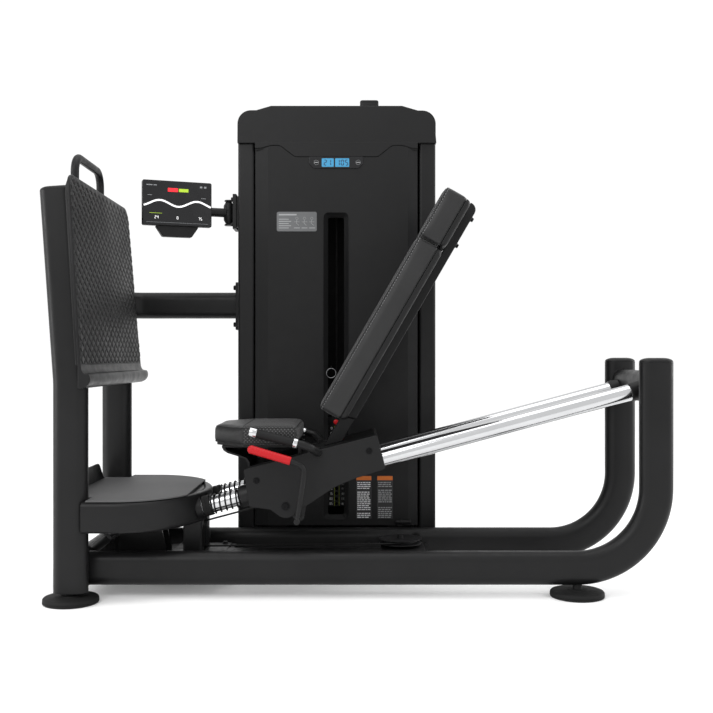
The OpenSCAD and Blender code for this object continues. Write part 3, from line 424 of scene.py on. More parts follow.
def loft(rings, caps=True, closed=False):
    n = len(rings[0])
    vs = [tuple(p) for r in rings for p in r]
    fs = []
    m = len(rings)
    for i in range(m - 1 + (1 if closed else 0)):
        a, b = i * n, ((i + 1) % m) * n
        for j in range(n):
            k = (j + 1) % n
            fs.append((a + j, a + k, b + k, b + j))
    if caps and not closed:
        fs.append(tuple(range(n))[::-1])
        fs.append(tuple(range((m - 1) * n, m * n)))
    return vs, fs


def circle(r, n=32, c=(0, 0), a0=0):
    return [(c[0] + r * math.cos(a0 + 2 * math.pi * i / n), c[1] + r * math.sin(a0 + 2 * math.pi * i / n)) for i in range(n)]


def oval(w, t, n=16):
    """Flat oval: w along the first coordinate, t along the second."""
    r = t / 2
    h = (w - t) / 2
    pts = [(h + r * math.cos(a), r * math.sin(a)) for a in np.linspace(-math.pi / 2, math.pi / 2, n)]
    pts += [(-h + r * math.cos(a), r * math.sin(a)) for a in np.linspace(math.pi / 2, 3 * math.pi / 2, n)]
    return pts


def round_poly(pts, rad, n=5):
    """Rounds the corners of a 2D outline. rad is one radius or a list."""
    out = []
    m = len(pts)
    for i in range(m):
        r = rad[i] if isinstance(rad, (list, tuple)) else rad
        p0, p1, p2 = (Vector(pts[i - 1]), Vector(pts[i]), Vector(pts[(i + 1) % m]))
        a, b = (p0 - p1), (p2 - p1)
        la, lb = a.length, b.length
        a.normalize()
        b.normalize()
        ang = a.angle(b)
        if r <= 0 or ang > math.radians(178):
            out.append(tuple(p1))
            continue
        d = min(r / math.tan(ang / 2), la * 0.49, lb * 0.49)
        q0, q2 = p1 + a * d, p1 + b * d
        for s in np.linspace(0, 1, n + 1):
            # quadratic arc close to a circle
            w = 1.0 / math.sin(ang / 2) if False else math.sin(ang / 2)
            x = ((1 - s) ** 2 * q0 + 2 * s * (1 - s) * w * p1 + s ** 2 * q2) / ((1 - s) ** 2 + 2 * s * (1 - s) * w + s ** 2)
            out.append(tuple(x))
    return out


def sweep(path, N, prof, closed=False, caps=True):
    """Sweeps a profile of (a, b) along a path: b lies along N, a along N x tangent."""
    N = Vector(N).normalized()
    path = [Vector(p) for p in path]
    rings = []
    m = len(path)
    for i, p in enumerate(path):
        if closed:
            t = (path[(i + 1) % m] - path[i - 1]).normalized()
            sc = 1
        elif i in (0, m - 1):
            t = (path[1] - path[0]).normalized() if i == 0 else (path[-1] - path[-2]).normalized()
        else:
            t = ((path[i + 1] - p).normalized() + (p - path[i - 1]).normalized()).normalized()
        A = N.cross(t).normalized()
        rings.append([p + A * a + N * b for a, b in prof])
    return loft(rings, caps, closed)


def tube(path, r, n=24, N=None, caps=True):
    """Round tube with a minimal-twist frame."""
    path = [Vector(p) for p in path]
    rings = []
    up = None
    for i, p in enumerate(path):
        if i == 0:
            t = (path[1] - p).normalized()
        elif i == len(path) - 1:
            t = (p - path[i - 1]).normalized()
        else:
            t = ((path[i + 1] - p).normalized() + (p - path[i - 1]).normalized()).normalized()
        if up is None:
            up = Vector((0, 0, 1)) if abs(t.z) < 0.9 else Vector((0, 1, 0))
        a = t.cross(up).normalized()
        b = a.cross(t).normalized()
        up = b
        rr = r[i] if isinstance(r, (list, tuple)) else r
        rings.append([p + a * rr * math.cos(2 * math.pi * j / n) + b * rr * math.sin(2 * math.pi * j / n) for j in range(n)])
    return loft(rings, caps)


def bent(points, radii, n=10):
    """3D polyline with rounded corners."""
    out = [Vector(points[0])]
    for i in range(1, len(points) - 1):
        p0, p1, p2 = (Vector(points[j]) for j in (i - 1, i, i + 1))
        a, b = (p0 - p1).normalized(), (p2 - p1).normalized()
        ang = a.angle(b)
        r = radii if isinstance(radii, (int, float)) else radii[i - 1]
        d = r / math.tan(ang / 2)
        q0, q2 = p1 + a * d, p1 + b * d
        c = p1 + (a + b).normalized() * (r / math.sin(ang / 2))
        u, v = q0 - c, q2 - c
        tot = u.angle(v)
        for s in np.linspace(0, 1, n + 1):
            w = (u * math.sin((1 - s) * tot) + v * math.sin(s * tot)) / math.sin(tot)
            out.append(c + w)
    out.append(Vector(points[-1]))
    return out


def lathe(prof, n=64, closed=True):
    """Revolves a closed (r, z) outline about Z."""
    rings = [[(r * math.cos(2 * math.pi * j / n), r * math.sin(2 * math.pi * j / n), z) for j in range(n)] for r, z in prof]
    vs, fs = loft(rings, caps=False, closed=closed)
    return vs, fs


def prism(outline, z0, z1, axis='Z'):
    """Extrudes a 2D outline; axis Y takes (x, z) outlines, axis X takes (y, z) outlines."""
    if axis == 'Z':
        f = lambda p, t: (p[0], p[1], t)
    elif axis == 'Y':
        f = lambda p, t: (p[0], t, p[1])
    else:
        f = lambda p, t: (t, p[0], p[1])
    n = len(outline)
    vs = [f(p, z0) for p in outline] + [f(p, z1) for p in outline]
    fs = [tuple(range(n)), tuple(range(n, 2 * n))] + [(i, (i + 1) % n, n + (i + 1) % n, n + i) for i in range(n)]
    return vs, fs


def bolt(M, r, h, mat, name, body="root", hexa=True):
    """Washer, hexagon or cap head with a socket, one joined mesh."""
    parts = []
    parts.append(lathe([(0.01, 0), (r * 1.45, 0), (r * 1.5, 0.4), (r * 1.5, 1.4), (r * 1.42, 1.8), (0.01, 1.8)], 32))
    if hexa:
        o = circle(r * 1.12, 6)
        parts.append(loft([[(x, y, 1.8) for x, y in o], [(x, y, h - 1) for x, y in o], [(x * 0.9, y * 0.9, h) for x, y in o]]))
    else:
        prof = [(0.01, 1.8), (r, 1.8), (r, h - 1.2), (r * 0.93, h - 0.3), (r * 0.8, h), (r * 0.52, h), (r * 0.5, h - 0.4), (r * 0.5, h - 3), (0.01, h - 3)]
        parts.append(lathe(prof, 32))
    v, f = join_geo(parts)
    return make(name, v, f, mat, body, M, sharp=32, bevel=0.35, seg=2)


def cad(node, mat, sl=None):
    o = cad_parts[node]
    o.data.materials.clear()
    o.data.materials.append(mat)


# ------------------------------------------------------------------ camera, light, floor
cam_d = bpy.data.cameras.new("camera")
cam_d.lens = 50
cam_d.sensor_width = 36
cam_d.clip_end = 60
cam = bpy.data.objects.new("camera", cam_d)
scene.collection.objects.link(cam)
cam.location = P((0, -3137, 711))
cam.rotation_euler = (math.radians(90), 0, 0)
scene.camera = cam

world = bpy.data.worlds.new("studio")
scene.world = world
world.use_nodes = True
bg = world.node_tree.nodes["Background"]
bg.inputs[0].default_value = (1, 1, 1, 1)
bg.inputs[1].default_value = 1.03
scene.view_settings.view_transform = "Standard"
scene.view_settings.look = "None"


def area(name, loc, target, size, power, sy=None):
    l = bpy.data.lights.new(name, "AREA")
    l.energy = power
    l.size = size
    if sy:
        l.shape = "RECTANGLE"
        l.size_y = sy
    o = bpy.data.objects.new(name, l)
    scene.collection.objects.link(o)
    o.location = P(loc)
    d = (P(target) - o.location)
    o.rotation_euler = d.to_track_quat('-Z', 'Y').to_euler()
    return o


area("key", (-1800, -3400, 3200), (0, 0, 700), 2.4, 60)
area("fill", (2600, -2600, 1800), (0, 0, 600), 2.0, 12)
area("top", (0, -300, 3800), (0, 0, 500), 2.6, 40)
area("side_left", (-3600, -900, 1400), (0, 200, 800), 1.2, 46, 2.4)
area("rim_right", (3200, 700, 1500), (0, 0, 700), 1.2, 30, 2.4)


def floor_material():
    k = NT("pale_floor")
    n = k.noise(3, 4)
    k.set(Base_Color=k.mixc(k.rng(n, .3, .7, 0, 1), (0.87, 0.87, 0.87), (0.89, 0.89, 0.89)), Roughness=k.rng(n, .3, .7, 0.6, 0.7), Specular_IOR_Level=0.2)
    k.set(Emission_Color=(1.0, 1.0, 1.0), Emission_Strength=0.14)
    return k.m


fv = [(-30000, -30000, -0.2), (30000, -30000, -0.2), (30000, 30000, -0.2), (-30000, 30000, -0.2)]
fme = bpy.data.meshes.new("floor")
fme.from_pydata([P(v) for v in fv], [], [(0, 1, 2, 3)])
fme.materials.append(floor_material())
floor = bpy.data.objects.new("floor", fme)
scene.collection.objects.link(floor)

# ------------------------------------------------------------------ CAD nodes that stay, with their materials
for n in ("base_cross_frame", "rod_column", "kick_plate", "footplate_brackets", "tower_sides", "carriage_frame", "console_bracket"):
    cad(n, M_FRAME)
for n in ("tower_base", "tower_top_beam", "pulley_brackets", "shroud_rear"):
    cad(n, M_PLATE)
for n in ("front_pulley", "deflection_pulley", "tower_low_pulley", "top_pulley_right", "top_pulley_left"):
    cad(n, M_NYLON)
for n in ("stack_plates", "stack_head"):
    cad(n, M_IRON)
cad("slide_bushes", M_BRONZE)
cad("stack_bumpers", M_RUBBER)
cad("stack_guide_rods", M_CHROME)
cad("run_cables", M_CABLE)

# ------------------------------------------------------------------ frame tubes
RAILP = oval(100, 60)


def arc_xz(cx, cz, r, a0, a1, y, n=28):
    return [(cx + r * math.cos(math.radians(a)), y, cz + r * math.sin(math.radians(a))) for a in np.linspace(a0, a1, n + 1)]


for s, nm in ((-1, "near"), (1, "far")):
    path = [(-822, s * 202, 85), (-300, s * 202, 85)] + arc_xz(652.5, 320.5, 235.5, -90, 0, s * 202, 36) + [(888, s * 202, 694)]
    v, f = sweep(path, (0, 1, 0), RAILP)
    make("floor_rail_" + nm, v, f, M_FRAME, rep=("rail_" + nm,), sl="frame_paint")
    # posts
    path = [(-825, s * 277, 31), (-825, s * 277, 624)] + [(-1225 + 400 * math.cos(math.radians(a)), s * 277, 624 + 400 * math.sin(math.radians(a))) for a in np.linspace(0.5, 4, 8)]
    lz, lx = 624 + 400 * math.sin(math.radians(4)), -1225 + 400 * math.cos(math.radians(4))
    L = (1191 - lz) / math.cos(math.radians(4))
    top = (lx - L * math.sin(math.radians(4)), s * 277, 1191)
    path.append(top)
    v, f = sweep(path, (0, 1, 0), RAILP)
    make("post_" + nm, v, f, M_FRAME, rep=("footplate_posts",) if s < 0 else (), sl="frame_paint")

    def dome(M, nm2):
        rings = []
        for i, k in enumerate((0, 0.6, 2, 5, 9, 14, 20, 26, 29.5)):
            z = 11.8 * math.sqrt(max(0, 1 - (1 - k / 30) ** 2)) + 1.2
            if i == 0:
                z = 0.4
            rings.append([(x, y, z) for x, y in oval(99.4 - 2 * k, 59.4 - 2 * k)])
        v, f = loft([[(x, y, -6) for x, y in oval(93, 53)], [(x, y, 0.2) for x, y in oval(93, 53)]] + rings)
        make(nm2, v, f, M_PLASTIC, M=M, rep=("tube_caps",) if nm2 == "cap_rail_near" else (), sl="black_plastic", sharp=50)
    dome(T(888, s * 202, 694), "cap_rail_" + nm)
    dome(T(*top) @ R(-4, 'Y'), "cap_post_" + nm)

v, f = sweep([(-825, -252, 85), (-825, 252, 85)], (0, 0, 1), oval(60, 100))
cx = [(-825 + 30 * 0, 0, 0)]
prof_v = [(b, a) for a, b in oval(100, 60)]
v, f = sweep([(-825, -251, 85), (-825, 251, 85)], (0, 0, 1), prof_v)
make("front_tube", v, f, M_FRAME, rep=("front_cross_tube",), sl="frame_paint")
v, f = sweep([(888, -176, 620), (888, 176, 620)], (0, 0, 1), [(b, a) for a, b in oval(96, 60)])
make("rear_crossbar", v, f, M_FRAME, rep=("upper_crossbar",), sl="frame_paint")
lp = [(-850, 303, 895), (-850, 354, 895)] + [(-760 + 90 * math.cos(math.radians(a)), 355 + 90 * math.sin(math.radians(a)), 895) for a in np.linspace(180, 90, 16)] + [(-431.5, 445, 895)]
v, f = sweep(lp, (0, 0, 1), [(b, a) for a, b in oval(94, 60)])
make("link_bar", v, f, M_FRAME, rep=("link_tube",), sl="frame_paint")
ol = round_poly([(390, 806), (500, 806), (500, 976), (390, 976)], 7)
v, f = join_geo([prism(ol, -431, -420.4, 'X'), prism(ol, -420, -408.2, 'X')])
make("link_flange", v, f, M_FRAME, bevel=1.2, sl="frame_paint")
for i, (y, z) in enumerate(((408, 825), (482, 825), (408, 957), (482, 957))):
    bolt(T(-431, y, z) @ R(-90, 'Y'), 7.5, 9, M_DKBOLT, "link_bolt_%d" % i)

# weld beads where tubes meet
def bead(path, r, name, body="root", closed=True, mat=None):
    path = [Vector(p) for p in path]
    n = len(path)
    rings = []
    for i, p in enumerate(path):
        t = (path[(i + 1) % n] - path[i - 1]).normalized()
        up = Vector((0.3, 0.5, 0.8)).normalized()
        a = t.cross(up).normalized()
        b = a.cross(t).normalized()
        rr = r * (1 + 0.14 * math.sin(i * 2.1))
        rings.append([p + a * rr * math.cos(2 * math.pi * j / 8) + b * rr * math.sin(2 * math.pi * j / 8) for j in range(8)])
    v, f = loft(rings, caps=not closed, closed=closed)
    return v, f


def oval_loop(w, t, n=64):
    o = oval(w, t, n // 2)
    return o


beads = []
for s in (-1, 1):
    beads.append(bead([(888 + b, s * (172.6 - 6 * (abs(a) / 48) ** 4 * 0), 620 + a) for a, b in oval_loop(98, 62)], 2.2, ""))
    beads.append(bead([(-826 + 31.5, s * 202 + b * 1.02, 85 + a * 1.01) for a, b in oval_loop(100, 60)], 2.2, ""))
v, f = join_geo(beads)
make("weld_beads", v, f, M_FRAME, sl="frame_paint")

# feet: turned discs with a rounded rim, a groove and a stem
def foot_geo(r, h, top):
    prof = [(0.01, 0), (r - 5, 0), (r - 1.5, 1.2), (r, 4), (r, 6.5), (r - 1.2, 7.3), (r - 1.2, 8.3), (r, 9.1), (r - 0.6, h - 5), (r - 3, h - 1.8), (r - 8, h), (34, h + 1.6), (30, h + 2.4), (29, h + 4),
            (14.5, h + 4.4), (13.5, h + 6), (13.5, top), (0.01, top)]
    if top < h + 7:
        prof = prof[:-4] + [(13.5, top), (0.01, top)]
    return lathe(prof, 80)


for s, nm in ((-1, "near"), (1, "far")):
    v, f = foot_geo(80, 19, 31)
    make("foot_post_" + nm, v, f, M_RUBBER, M=T(-825, s * 277, 0), rep=("foot_discs",) if s < 0 else (), sl="black_plastic")
    v, f = foot_geo(80, 19, 42)
    make("foot_rail_" + nm, v, f, M_RUBBER, M=T(654, s * 202, 0), sl="black_plastic")
k = 0
for x in (-320, 185):
    for y in (315, 556):
        v, f = lathe([(0.01, 0), (36, 0), (38, 2), (38, 9), (35, 13), (15, 15), (14, 30), (0.01, 30)], 48)
        make("foot_tower_%d" % k, v, f, M_RUBBER, M=T(x, y, 0), sl="black_plastic")
        k += 1

# ------------------------------------------------------------------ guide rods
UX = R(90, 'Y')   # lathe axis Z turned to +X
for s, nm in ((-1, "near"), (1, "far")):
    B = ROD @ T(0, s * 120, 0) @ UX
    u1 = (858 / math.cos(math.radians(15))) + (0)
    u1 = 892.0
    v, f = lathe([(25, -559), (25, u1), (20.5, u1), (20.5, -559)], 96)
    make("guide_rod_" + nm, v, f, M_CHROME, M=B, rep=("guide_rods",) if s < 0 else (), sl="chrome", sharp=40)
    # lower clamp collar and the upper one
    v, f = lathe([(25.2, -503), (32, -503), (33, -502), (33, -485), (32, -484), (25.2, -484)], 64)
    make("clamp_collar_" + nm, v, f, M_PLASTIC, M=B, rep=("rod_collars",) if s < 0 else (), sl="black_plastic")
    v, f = lathe([(25.2, 862), (28, 862), (29, 863), (29, 892), (25.2, 892)], 64)
    make("upper_collar_" + nm, v, f, M_PLASTIC, M=B, sl="black_plastic")
    v, f = lathe([(25.2, -481.5), (30.5, -481.5), (31.5, -480.5), (31.5, -472), (30.2, -470.6), (30.2, -469.4), (31.5, -468), (31.5, -459), (30.5, -458), (25.2, -458)], 64)
    make("bumper_ring_" + nm, v, f, M_RUBBER, M=B, rep=("rod_bumper_rings",) if s < 0 else (), sl="bumper_rubber")
    # spring: closed end turns
    turns, rm, rw = 6.4, 28.7, 2.3
    L0, L1 = -457.6, -365.3
    pts = []
    nn = int(turns * 28)
    for i in range(nn + 1):
        q = i / nn * turns
        # closed coils at both ends, open between
        a = -2 * math.pi * q
        lead = (L1 - L0 - 2 * rw)
        if q < 0.9:
            z = 4.8 * q / 0.9 * 0.9
        elif q > turns - 0.9:
            z = lead - 4.8 * (turns - q)
        else:
            z = 4.3 + (lead - 8.6) * (q - 0.9) / (turns - 1.8)
        pts.append((rm * math.cos(a), rm * math.sin(a), L0 + rw + z))
    v, f = tube(pts, rw, 10)
    make("bumper_spring_" + nm, v, f, M_SPRING, M=B, rep=("bumper_springs",) if s < 0 else (), sl="spring_steel")

# ------------------------------------------------------------------ step platform
def d_path(a, b, xb, n=56):
    pts = [(xb, -b), (-740, -b)]
    pts += [(-690 + a * math.cos(math.radians(t)), b * math.sin(math.radians(t))) for t in np.linspace(-90, 90, n + 1)]
    pts += [(-740, b), (xb, b)]
    return pts


rim = sweep([(x, y, 250) for x, y in d_path(217, 307, -785)], (0, 0, 1), [(b, a) for a, b in oval(90, 29.5, 12)])
make("step_rim", *rim, M_FRAME, rep=("step_platform",), sl="frame_paint")


def mat_out(a, b, xc=-505, n=40):
    """The step's outline, notched round the posts and cut straight across at xc."""
    tc = math.degrees(math.acos((xc + 690) / a))
    e = lambda t: (-690 + a * math.cos(math.radians(t)), b * math.sin(math.radians(t)))
    side = [(-856, -243.8), (-773, -243.8), (-773, -b), (-740, -b)] + [e(t) for t in np.linspace(-90, -tc, n)]
    return side + [(x, -y) for x, y in side[::-1]]


rings = [[(x, y, z) for x, y in mat_out(225.6 - g, 315.6 - g, -505.2 - g)] for g, z in ((0.6, 295.3), (0.0, 296.0), (0.0, 298.4), (1.2, 299.4))]
low = [[(x, y, z) for x, y in mat_out(199.2, 289.2)] for z in (290.2, 295.4)]
make("step_mat_top", *join_geo([loft(rings), loft(low)]), M_MAT, rep=("step_mat",), sl="mat", sharp=30)
make("step_deck", *loft([[(x, y, z) for x, y in mat_out(203, 293, -488)] for z in (284.2, 289.9)]), M_FRAME, sl="frame_paint", sharp=30)

# ------------------------------------------------------------------ footplate
FH, HT, HL = 547.5, 359, 386


def plate_out(g, gb=0, r=48):
    def hw(z):
        return HL + (HT - HL) * z / FH - g
    return round_poly([(-hw(0), gb), (hw(0), gb), (hw(FH - g), FH - g), (-hw(FH - g), FH - g)], [0, 0, r, r], 10)


v, f = prism(plate_out(0), -8.6, -1.2, 'X')
make("foot_plate", v, f, M_FRAME, M=PLATE, bevel=1.6, rep=("footplate",), sl="plate_paint")
strips = []
for s in (-1, 1):
    ol = [(s * 320, 4), (s * 384, 4), (s * 359, 490), (s * 352, 512), (s * 320, 540)]
    strips.append(prism(ol, -15, -8.6, 'X'))
make("foot_plate_edges", *join_geo(strips), M_FRAME, M=PLATE, bevel=1.2, sl="plate_paint")
# rolled heel lip, a smooth profile
lip = [(-775.2, 690), (-770.5, 690.5), (-767.6, 687.5), (-766.8, 683)]
lip += [(-742 + 24.8 * math.cos(math.radians(a)), 683 + 24.8 * math.sin(math.radians(a))) for a in np.linspace(184, 230, 10)]
lip += [(-766.5 + 25.5 * math.cos(math.radians(a)), 648 + 25.5 * math.sin(math.radians(a))) for a in np.linspace(34, -72, 22)]
lip += [(-763.5, 621.5), (-771.5, 621.5), (-774.8, 624.5)]
v, f = prism(lip, -385.5, 385.5, 'Y')
make("heel_lip", v, f, M_FRAME, bevel=2.2, sl="plate_paint", sharp=40)


# diamond tread, each raised cell clipped to the plate's outline
def clip_poly(poly, clip):
    """Sutherland-Hodgman against a convex counter-clockwise outline."""
    out = poly
    m = len(clip)
    for i in range(m):
        a, b = clip[i], clip[(i + 1) % m]
        src, out = out, []
        if not src:
            return []
        side = lambda p: (b[0] - a[0]) * (p[1] - a[1]) - (b[1] - a[1]) * (p[0] - a[0])
        for j in range(len(src)):
            p, q = src[j - 1], src[j]
            sp, sq = side(p), side(q)
            if sp >= 0:
                if sq >= 0:
                    out.append(q)
                else:
                    t = sp / (sp - sq)
                    out.append((p[0] + t * (q[0] - p[0]), p[1] + t * (q[1] - p[1])))
            elif sq >= 0:
                t = sp / (sp - sq)
                out.append((p[0] + t * (q[0] - p[0]), p[1] + t * (q[1] - p[1])))
                out.append(q)
    return out


area2 = lambda q: sum(q[i - 1][0] * q[i][1] - q[i][0] * q[i - 1][1] for i in range(len(q)))
clipo = plate_out(7, 7, 44)
if area2(clipo) < 0:
    clipo = clipo[::-1]
cells = []
PY, PZ = 48.0, 32.0
gy, gz = 5.4, 3.2
for j in range(0, 50):
    for i in range(-9, 10):
        cy = i * PY + (PY / 2 if j % 2 else 0)
        cz = 4 + j * PZ / 2
        q = [(cy + PY / 2 - gy, cz), (cy, cz + PZ / 2 - gz), (cy - PY / 2 + gy, cz), (cy, cz - PZ / 2 + gz)]
        c = clip_poly(q, clipo)
        if len(c) < 3 or abs(area2(c)) < 120:
            continue
        mx, my = sum(p[0] for p in c) / len(c), sum(p[1] for p in c) / len(c)
        b0 = [(-1.0, p[0], p[1]) for p in c]
        b1 = [(0.9, mx + (p[0] - mx) * 0.95, my + (p[1] - my) * 0.93) for p in c]
        b2 = [(1.6, mx + (p[0] - mx) * 0.74, my + (p[1] - my) * 0.74) for p in c]
        cells.append(loft([b0, b1, b2]))
cells.append(prism(plate_out(3, 4, 46), -2.4, -0.6, 'X'))
v, f = join_geo(cells)
make("foot_tread", v, f, M_TREAD, M=PLATE, rep=("footplate_tread",), sl="tread", sharp=20)
# grab handle
hp = bent([(-850, -148, 1158), (-850, -148, 1318), (-850, 148, 1318), (-850, 148, 1158)], 50, 14)
v, f = tube(hp, 12.5, 28)
make("grab_handle", v, f, M_PLASTIC, rep=("footplate_handle",), sl="frame_paint")

# ------------------------------------------------------------------ tower
TX0, TX1, TY, TD = -408, 272, 255, 340
SX0, SX1 = -114.7, -25.7


def seam(d):
    return [(-347.5, 1424 - d), (-325, 1426 - d), (-300, 1433 - d), (-288, 1435 - d), (-266, 1434.6 - d), (-258, 1431.5 - d), (-215, 1399 - d), (-207, 1396 - d), (68, 1396 - d),
            (76, 1398 - d), (118, 1431.5 - d), (126, 1434.6 - d), (154, 1435 - d), (164, 1433 - d), (188, 1426 - d), (209.5, 1424 - d)]


def front_y(x):
    """The bent front panel's face: flat middle, two bevelled edges."""
    if x < -303:
        return TY + 10 * (-303 - x) / 44.5
    if x > 176:
        return TY + 10 * (x - 176) / 33.5
    return TY


# front shroud as a sheet with a slot: a filled outline, folded at the bend lines, thickened
def panel_mesh():
    bm = bmesh.new()
    slot = round_poly([(SX0, 151), (SX1, 151), (SX1, 1206), (SX0, 1206)], 17, 8)
    top = seam(2.5)
    outer = [(-347.5, 133)] + [(209.5, 133)] + top[::-1]
    # triangulate with a hole through a filled curve
    cu = bpy.data.curves.new("tmp", "CURVE")
    cu.dimensions = "2D"
    cu.fill_mode = "BOTH"
    for loop in (outer, slot):
        sp = cu.splines.new("POLY")
        sp.points.add(len(loop) - 1)
        for i, p in enumerate(loop):
            sp.points[i].co = (p[0], p[1], 0, 1)
        sp.use_cyclic_u = True
    ob = bpy.data.objects.new("tmp", cu)
    scene.collection.objects.link(ob)
    me = bpy.data.meshes.new_from_object(ob.evaluated_get(bpy.context.evaluated_depsgraph_get()))
    bpy.data.objects.remove(ob)
    bm.from_mesh(me)
    # cut along the bend lines so that the sheet folds there
    for x in (-303, 176):
        geom = bm.verts[:] + bm.edges[:] + bm.faces[:]
        bmesh.ops.bisect_plane(bm, geom=geom, plane_co=(x, 0, 0), plane_no=(1, 0, 0))
    bmesh.ops.remove_doubles(bm, verts=bm.verts, dist=0.001)
    vs = [(v.co.x, front_y(v.co.x), v.co.y) for v in bm.verts]
    bm.verts.index_update()
    fs = [[w.index for w in fc.verts] for fc in bm.faces]
    bm.free()
    # close it: back face 3 mm behind, and walls along every border edge
    n = len(vs)
    edge = {}
    for fc in fs:
        for i in range(len(fc)):
            a, b = fc[i], fc[(i + 1) % len(fc)]
            edge.setdefault((min(a, b), max(a, b)), []).append((a, b))
    vs2 = vs + [(x, y + 3, z) for x, y, z in vs]
    fs2 = fs + [[i + n for i in fc][::-1] for fc in fs]
    for e2, u in edge.items():
        if len(u) == 1:
            a, b = u[0]
            fs2.append([b, a, a + n, b + n])
    return vs2, fs2


v, f = panel_mesh()
make("front_shroud", v, f, M_SHROUD, rep=("shroud_front",), sl="shroud", sharp=12)
# slot surround: rolled edge, inward bevel and a narrow flange
def slot_ring(g, y, r):
    return [(x, y, z) for x, z in round_poly([(SX0 + g, 151 + g), (SX1 - g, 151 + g), (SX1 - g, 1206 - g), (SX0 + g, 1206 - g)], r, 8)]


prof = [(-0.4, TY + 0.2, 17.4), (0.3, TY - 0.9, 17), (1.2, TY - 1.1, 16.5), (2.2, TY - 0.4, 16), (3.0, TY + 1.0, 15.5), (15.5, TY + 14.0, 7), (17, TY + 15.5, 6), (17, TY + 17.5, 6), (14, TY + 17.5, 8), (-0.4, TY + 4, 17.4)]
v, f = loft([slot_ring(g, y, r) for g, y, r in prof], caps=False, closed=True)
make("slot_surround", v, f, M_SHROUD, sl="shroud", sharp=25)

# cap: a thick moulded hood with a softly broken front edge
ct = [(TX1 + 2.3, 1442.4), (TX1 - 0.2, 1470)] + [(TX1 - 46.2 + 46 * math.cos(math.radians(a)), 1508.8 + 46 * math.sin(math.radians(a))) for a in np.linspace(0, 90, 12)]
ct += [(210.6, 1554.9), (156, 1570.8), (-293, 1570.8), (-344, 1555.9)] + [(TX0 + 45.6 + 46 * math.cos(math.radians(a)), 1509.8 + 46 * math.sin(math.radians(a))) for a in np.linspace(90, 180, 12)] + [(TX0 - 0.8, 1442.4)]
v, f = prism(ct, TY + 1.5, TY + TD - 1.5, 'Y')
make("tower_hood", v, f, M_CAP, bevel=3.0, seg=4, rep=("tower_cap",), sl="shroud", sharp=24)
apr = [(209.5, 1446), (-347.5, 1446)] + seam(0)
v, f = prism(apr, TY - 0.6, TY + 3, 'Y')
make("cap_apron", v, f, M_CAP, bevel=0.9, sl="shroud", sharp=20)
# painted shadow: a dark strip behind the joint line, where the seam's shade falls
v, f = prism([(209, 1440), (-347, 1440)] + seam(6), TY + 3.2, TY + 4.4, 'Y')
make("seam_shadow", v, f, M_RUBBER, sl="shroud")

# display module: bevelled pod, two lit windows, digits
pod = round_poly([(-162, 1394.8), (-162, 1371), (-147, 1355.4), (7, 1355.4), (22, 1371), (22, 1394.8)], [3, 6, 6, 6, 6, 3], 4)
v, f = prism(pod, TY - 3.4, TY + 1, 'Y')
make("display_pod", v, f, M_GLASS, bevel=1.0, rep=("display_module",), sl="display")
for i, (a, b) in enumerate(((-119, -78), (-73, -25))):
    v, f = prism(round_poly([(a, 1360), (b, 1360), (b, 1389), (a, 1389)], 2, 3), TY - 3.9, TY - 2.5, 'Y')
    make("lcd_%d" % i, v, f, M_LCD, sl="display")
SEG = {"0": "abcdef", "1": "bc", "2": "abged", "3": "abgcd", "4": "fgbc", "5": "afgcd", "6": "afgedc", "7": "abc", "8": "abcdefg", "9": "abcfgd"}


def seven(ch, x, z, w, h, t):
    """One seven-segment digit as quads; x, z is the lower left corner."""
    B = {"a": ((t, h - t), (w - t, h)), "d": ((t, 0), (w - t, t)), "g": ((t, h / 2 - t / 2), (w - t, h / 2 + t / 2)),
         "f": ((0, h / 2 + t / 3), (t, h - t / 2)), "b": ((w - t, h / 2 + t / 3), (w, h - t / 2)), "e": ((0, t / 2), (t, h / 2 - t / 3)), "c": ((w - t, t / 2), (w, h / 2 - t / 3))}
    out = []
    for c in SEG[ch]:
        (a0, b0), (a1, b1) = B[c]
        out.append([(x + a0, z + b0), (x + a1, z + b0), (x + a1, z + b1), (x + a0, z + b1)])
    return out


dg = []
for txt, x0 in (("21", -112), ("105", -68)):
    for i, ch in enumerate(txt):
        for q in seven(ch, x0 + i * 14.5, 1364.5, 10.5, 20, 2.6):
            dg.append(prism(q, TY - 4.3, TY - 3.6, 'Y'))
make("lcd_digits", *join_geo(dg), M_DIGIT, sl="display")
tk = []
for x0 in (-144, -1):
    tk.append(prism([(x0, 1374), (x0 + 13, 1374), (x0 + 13, 1376.2), (x0, 1376.2)], TY - 3.9, TY - 3.3, 'Y'))
    tk.append(xf(lathe([(7.6, 0), (8.2, 0), (8.2, 0.4), (7.6, 0.4)], 32), T(x0 + 6.5, TY - 3.35, 1375.1) @ R(90, 'X')))
make("display_marks", *join_geo(tk), M_GREYPRINT, sl="display")

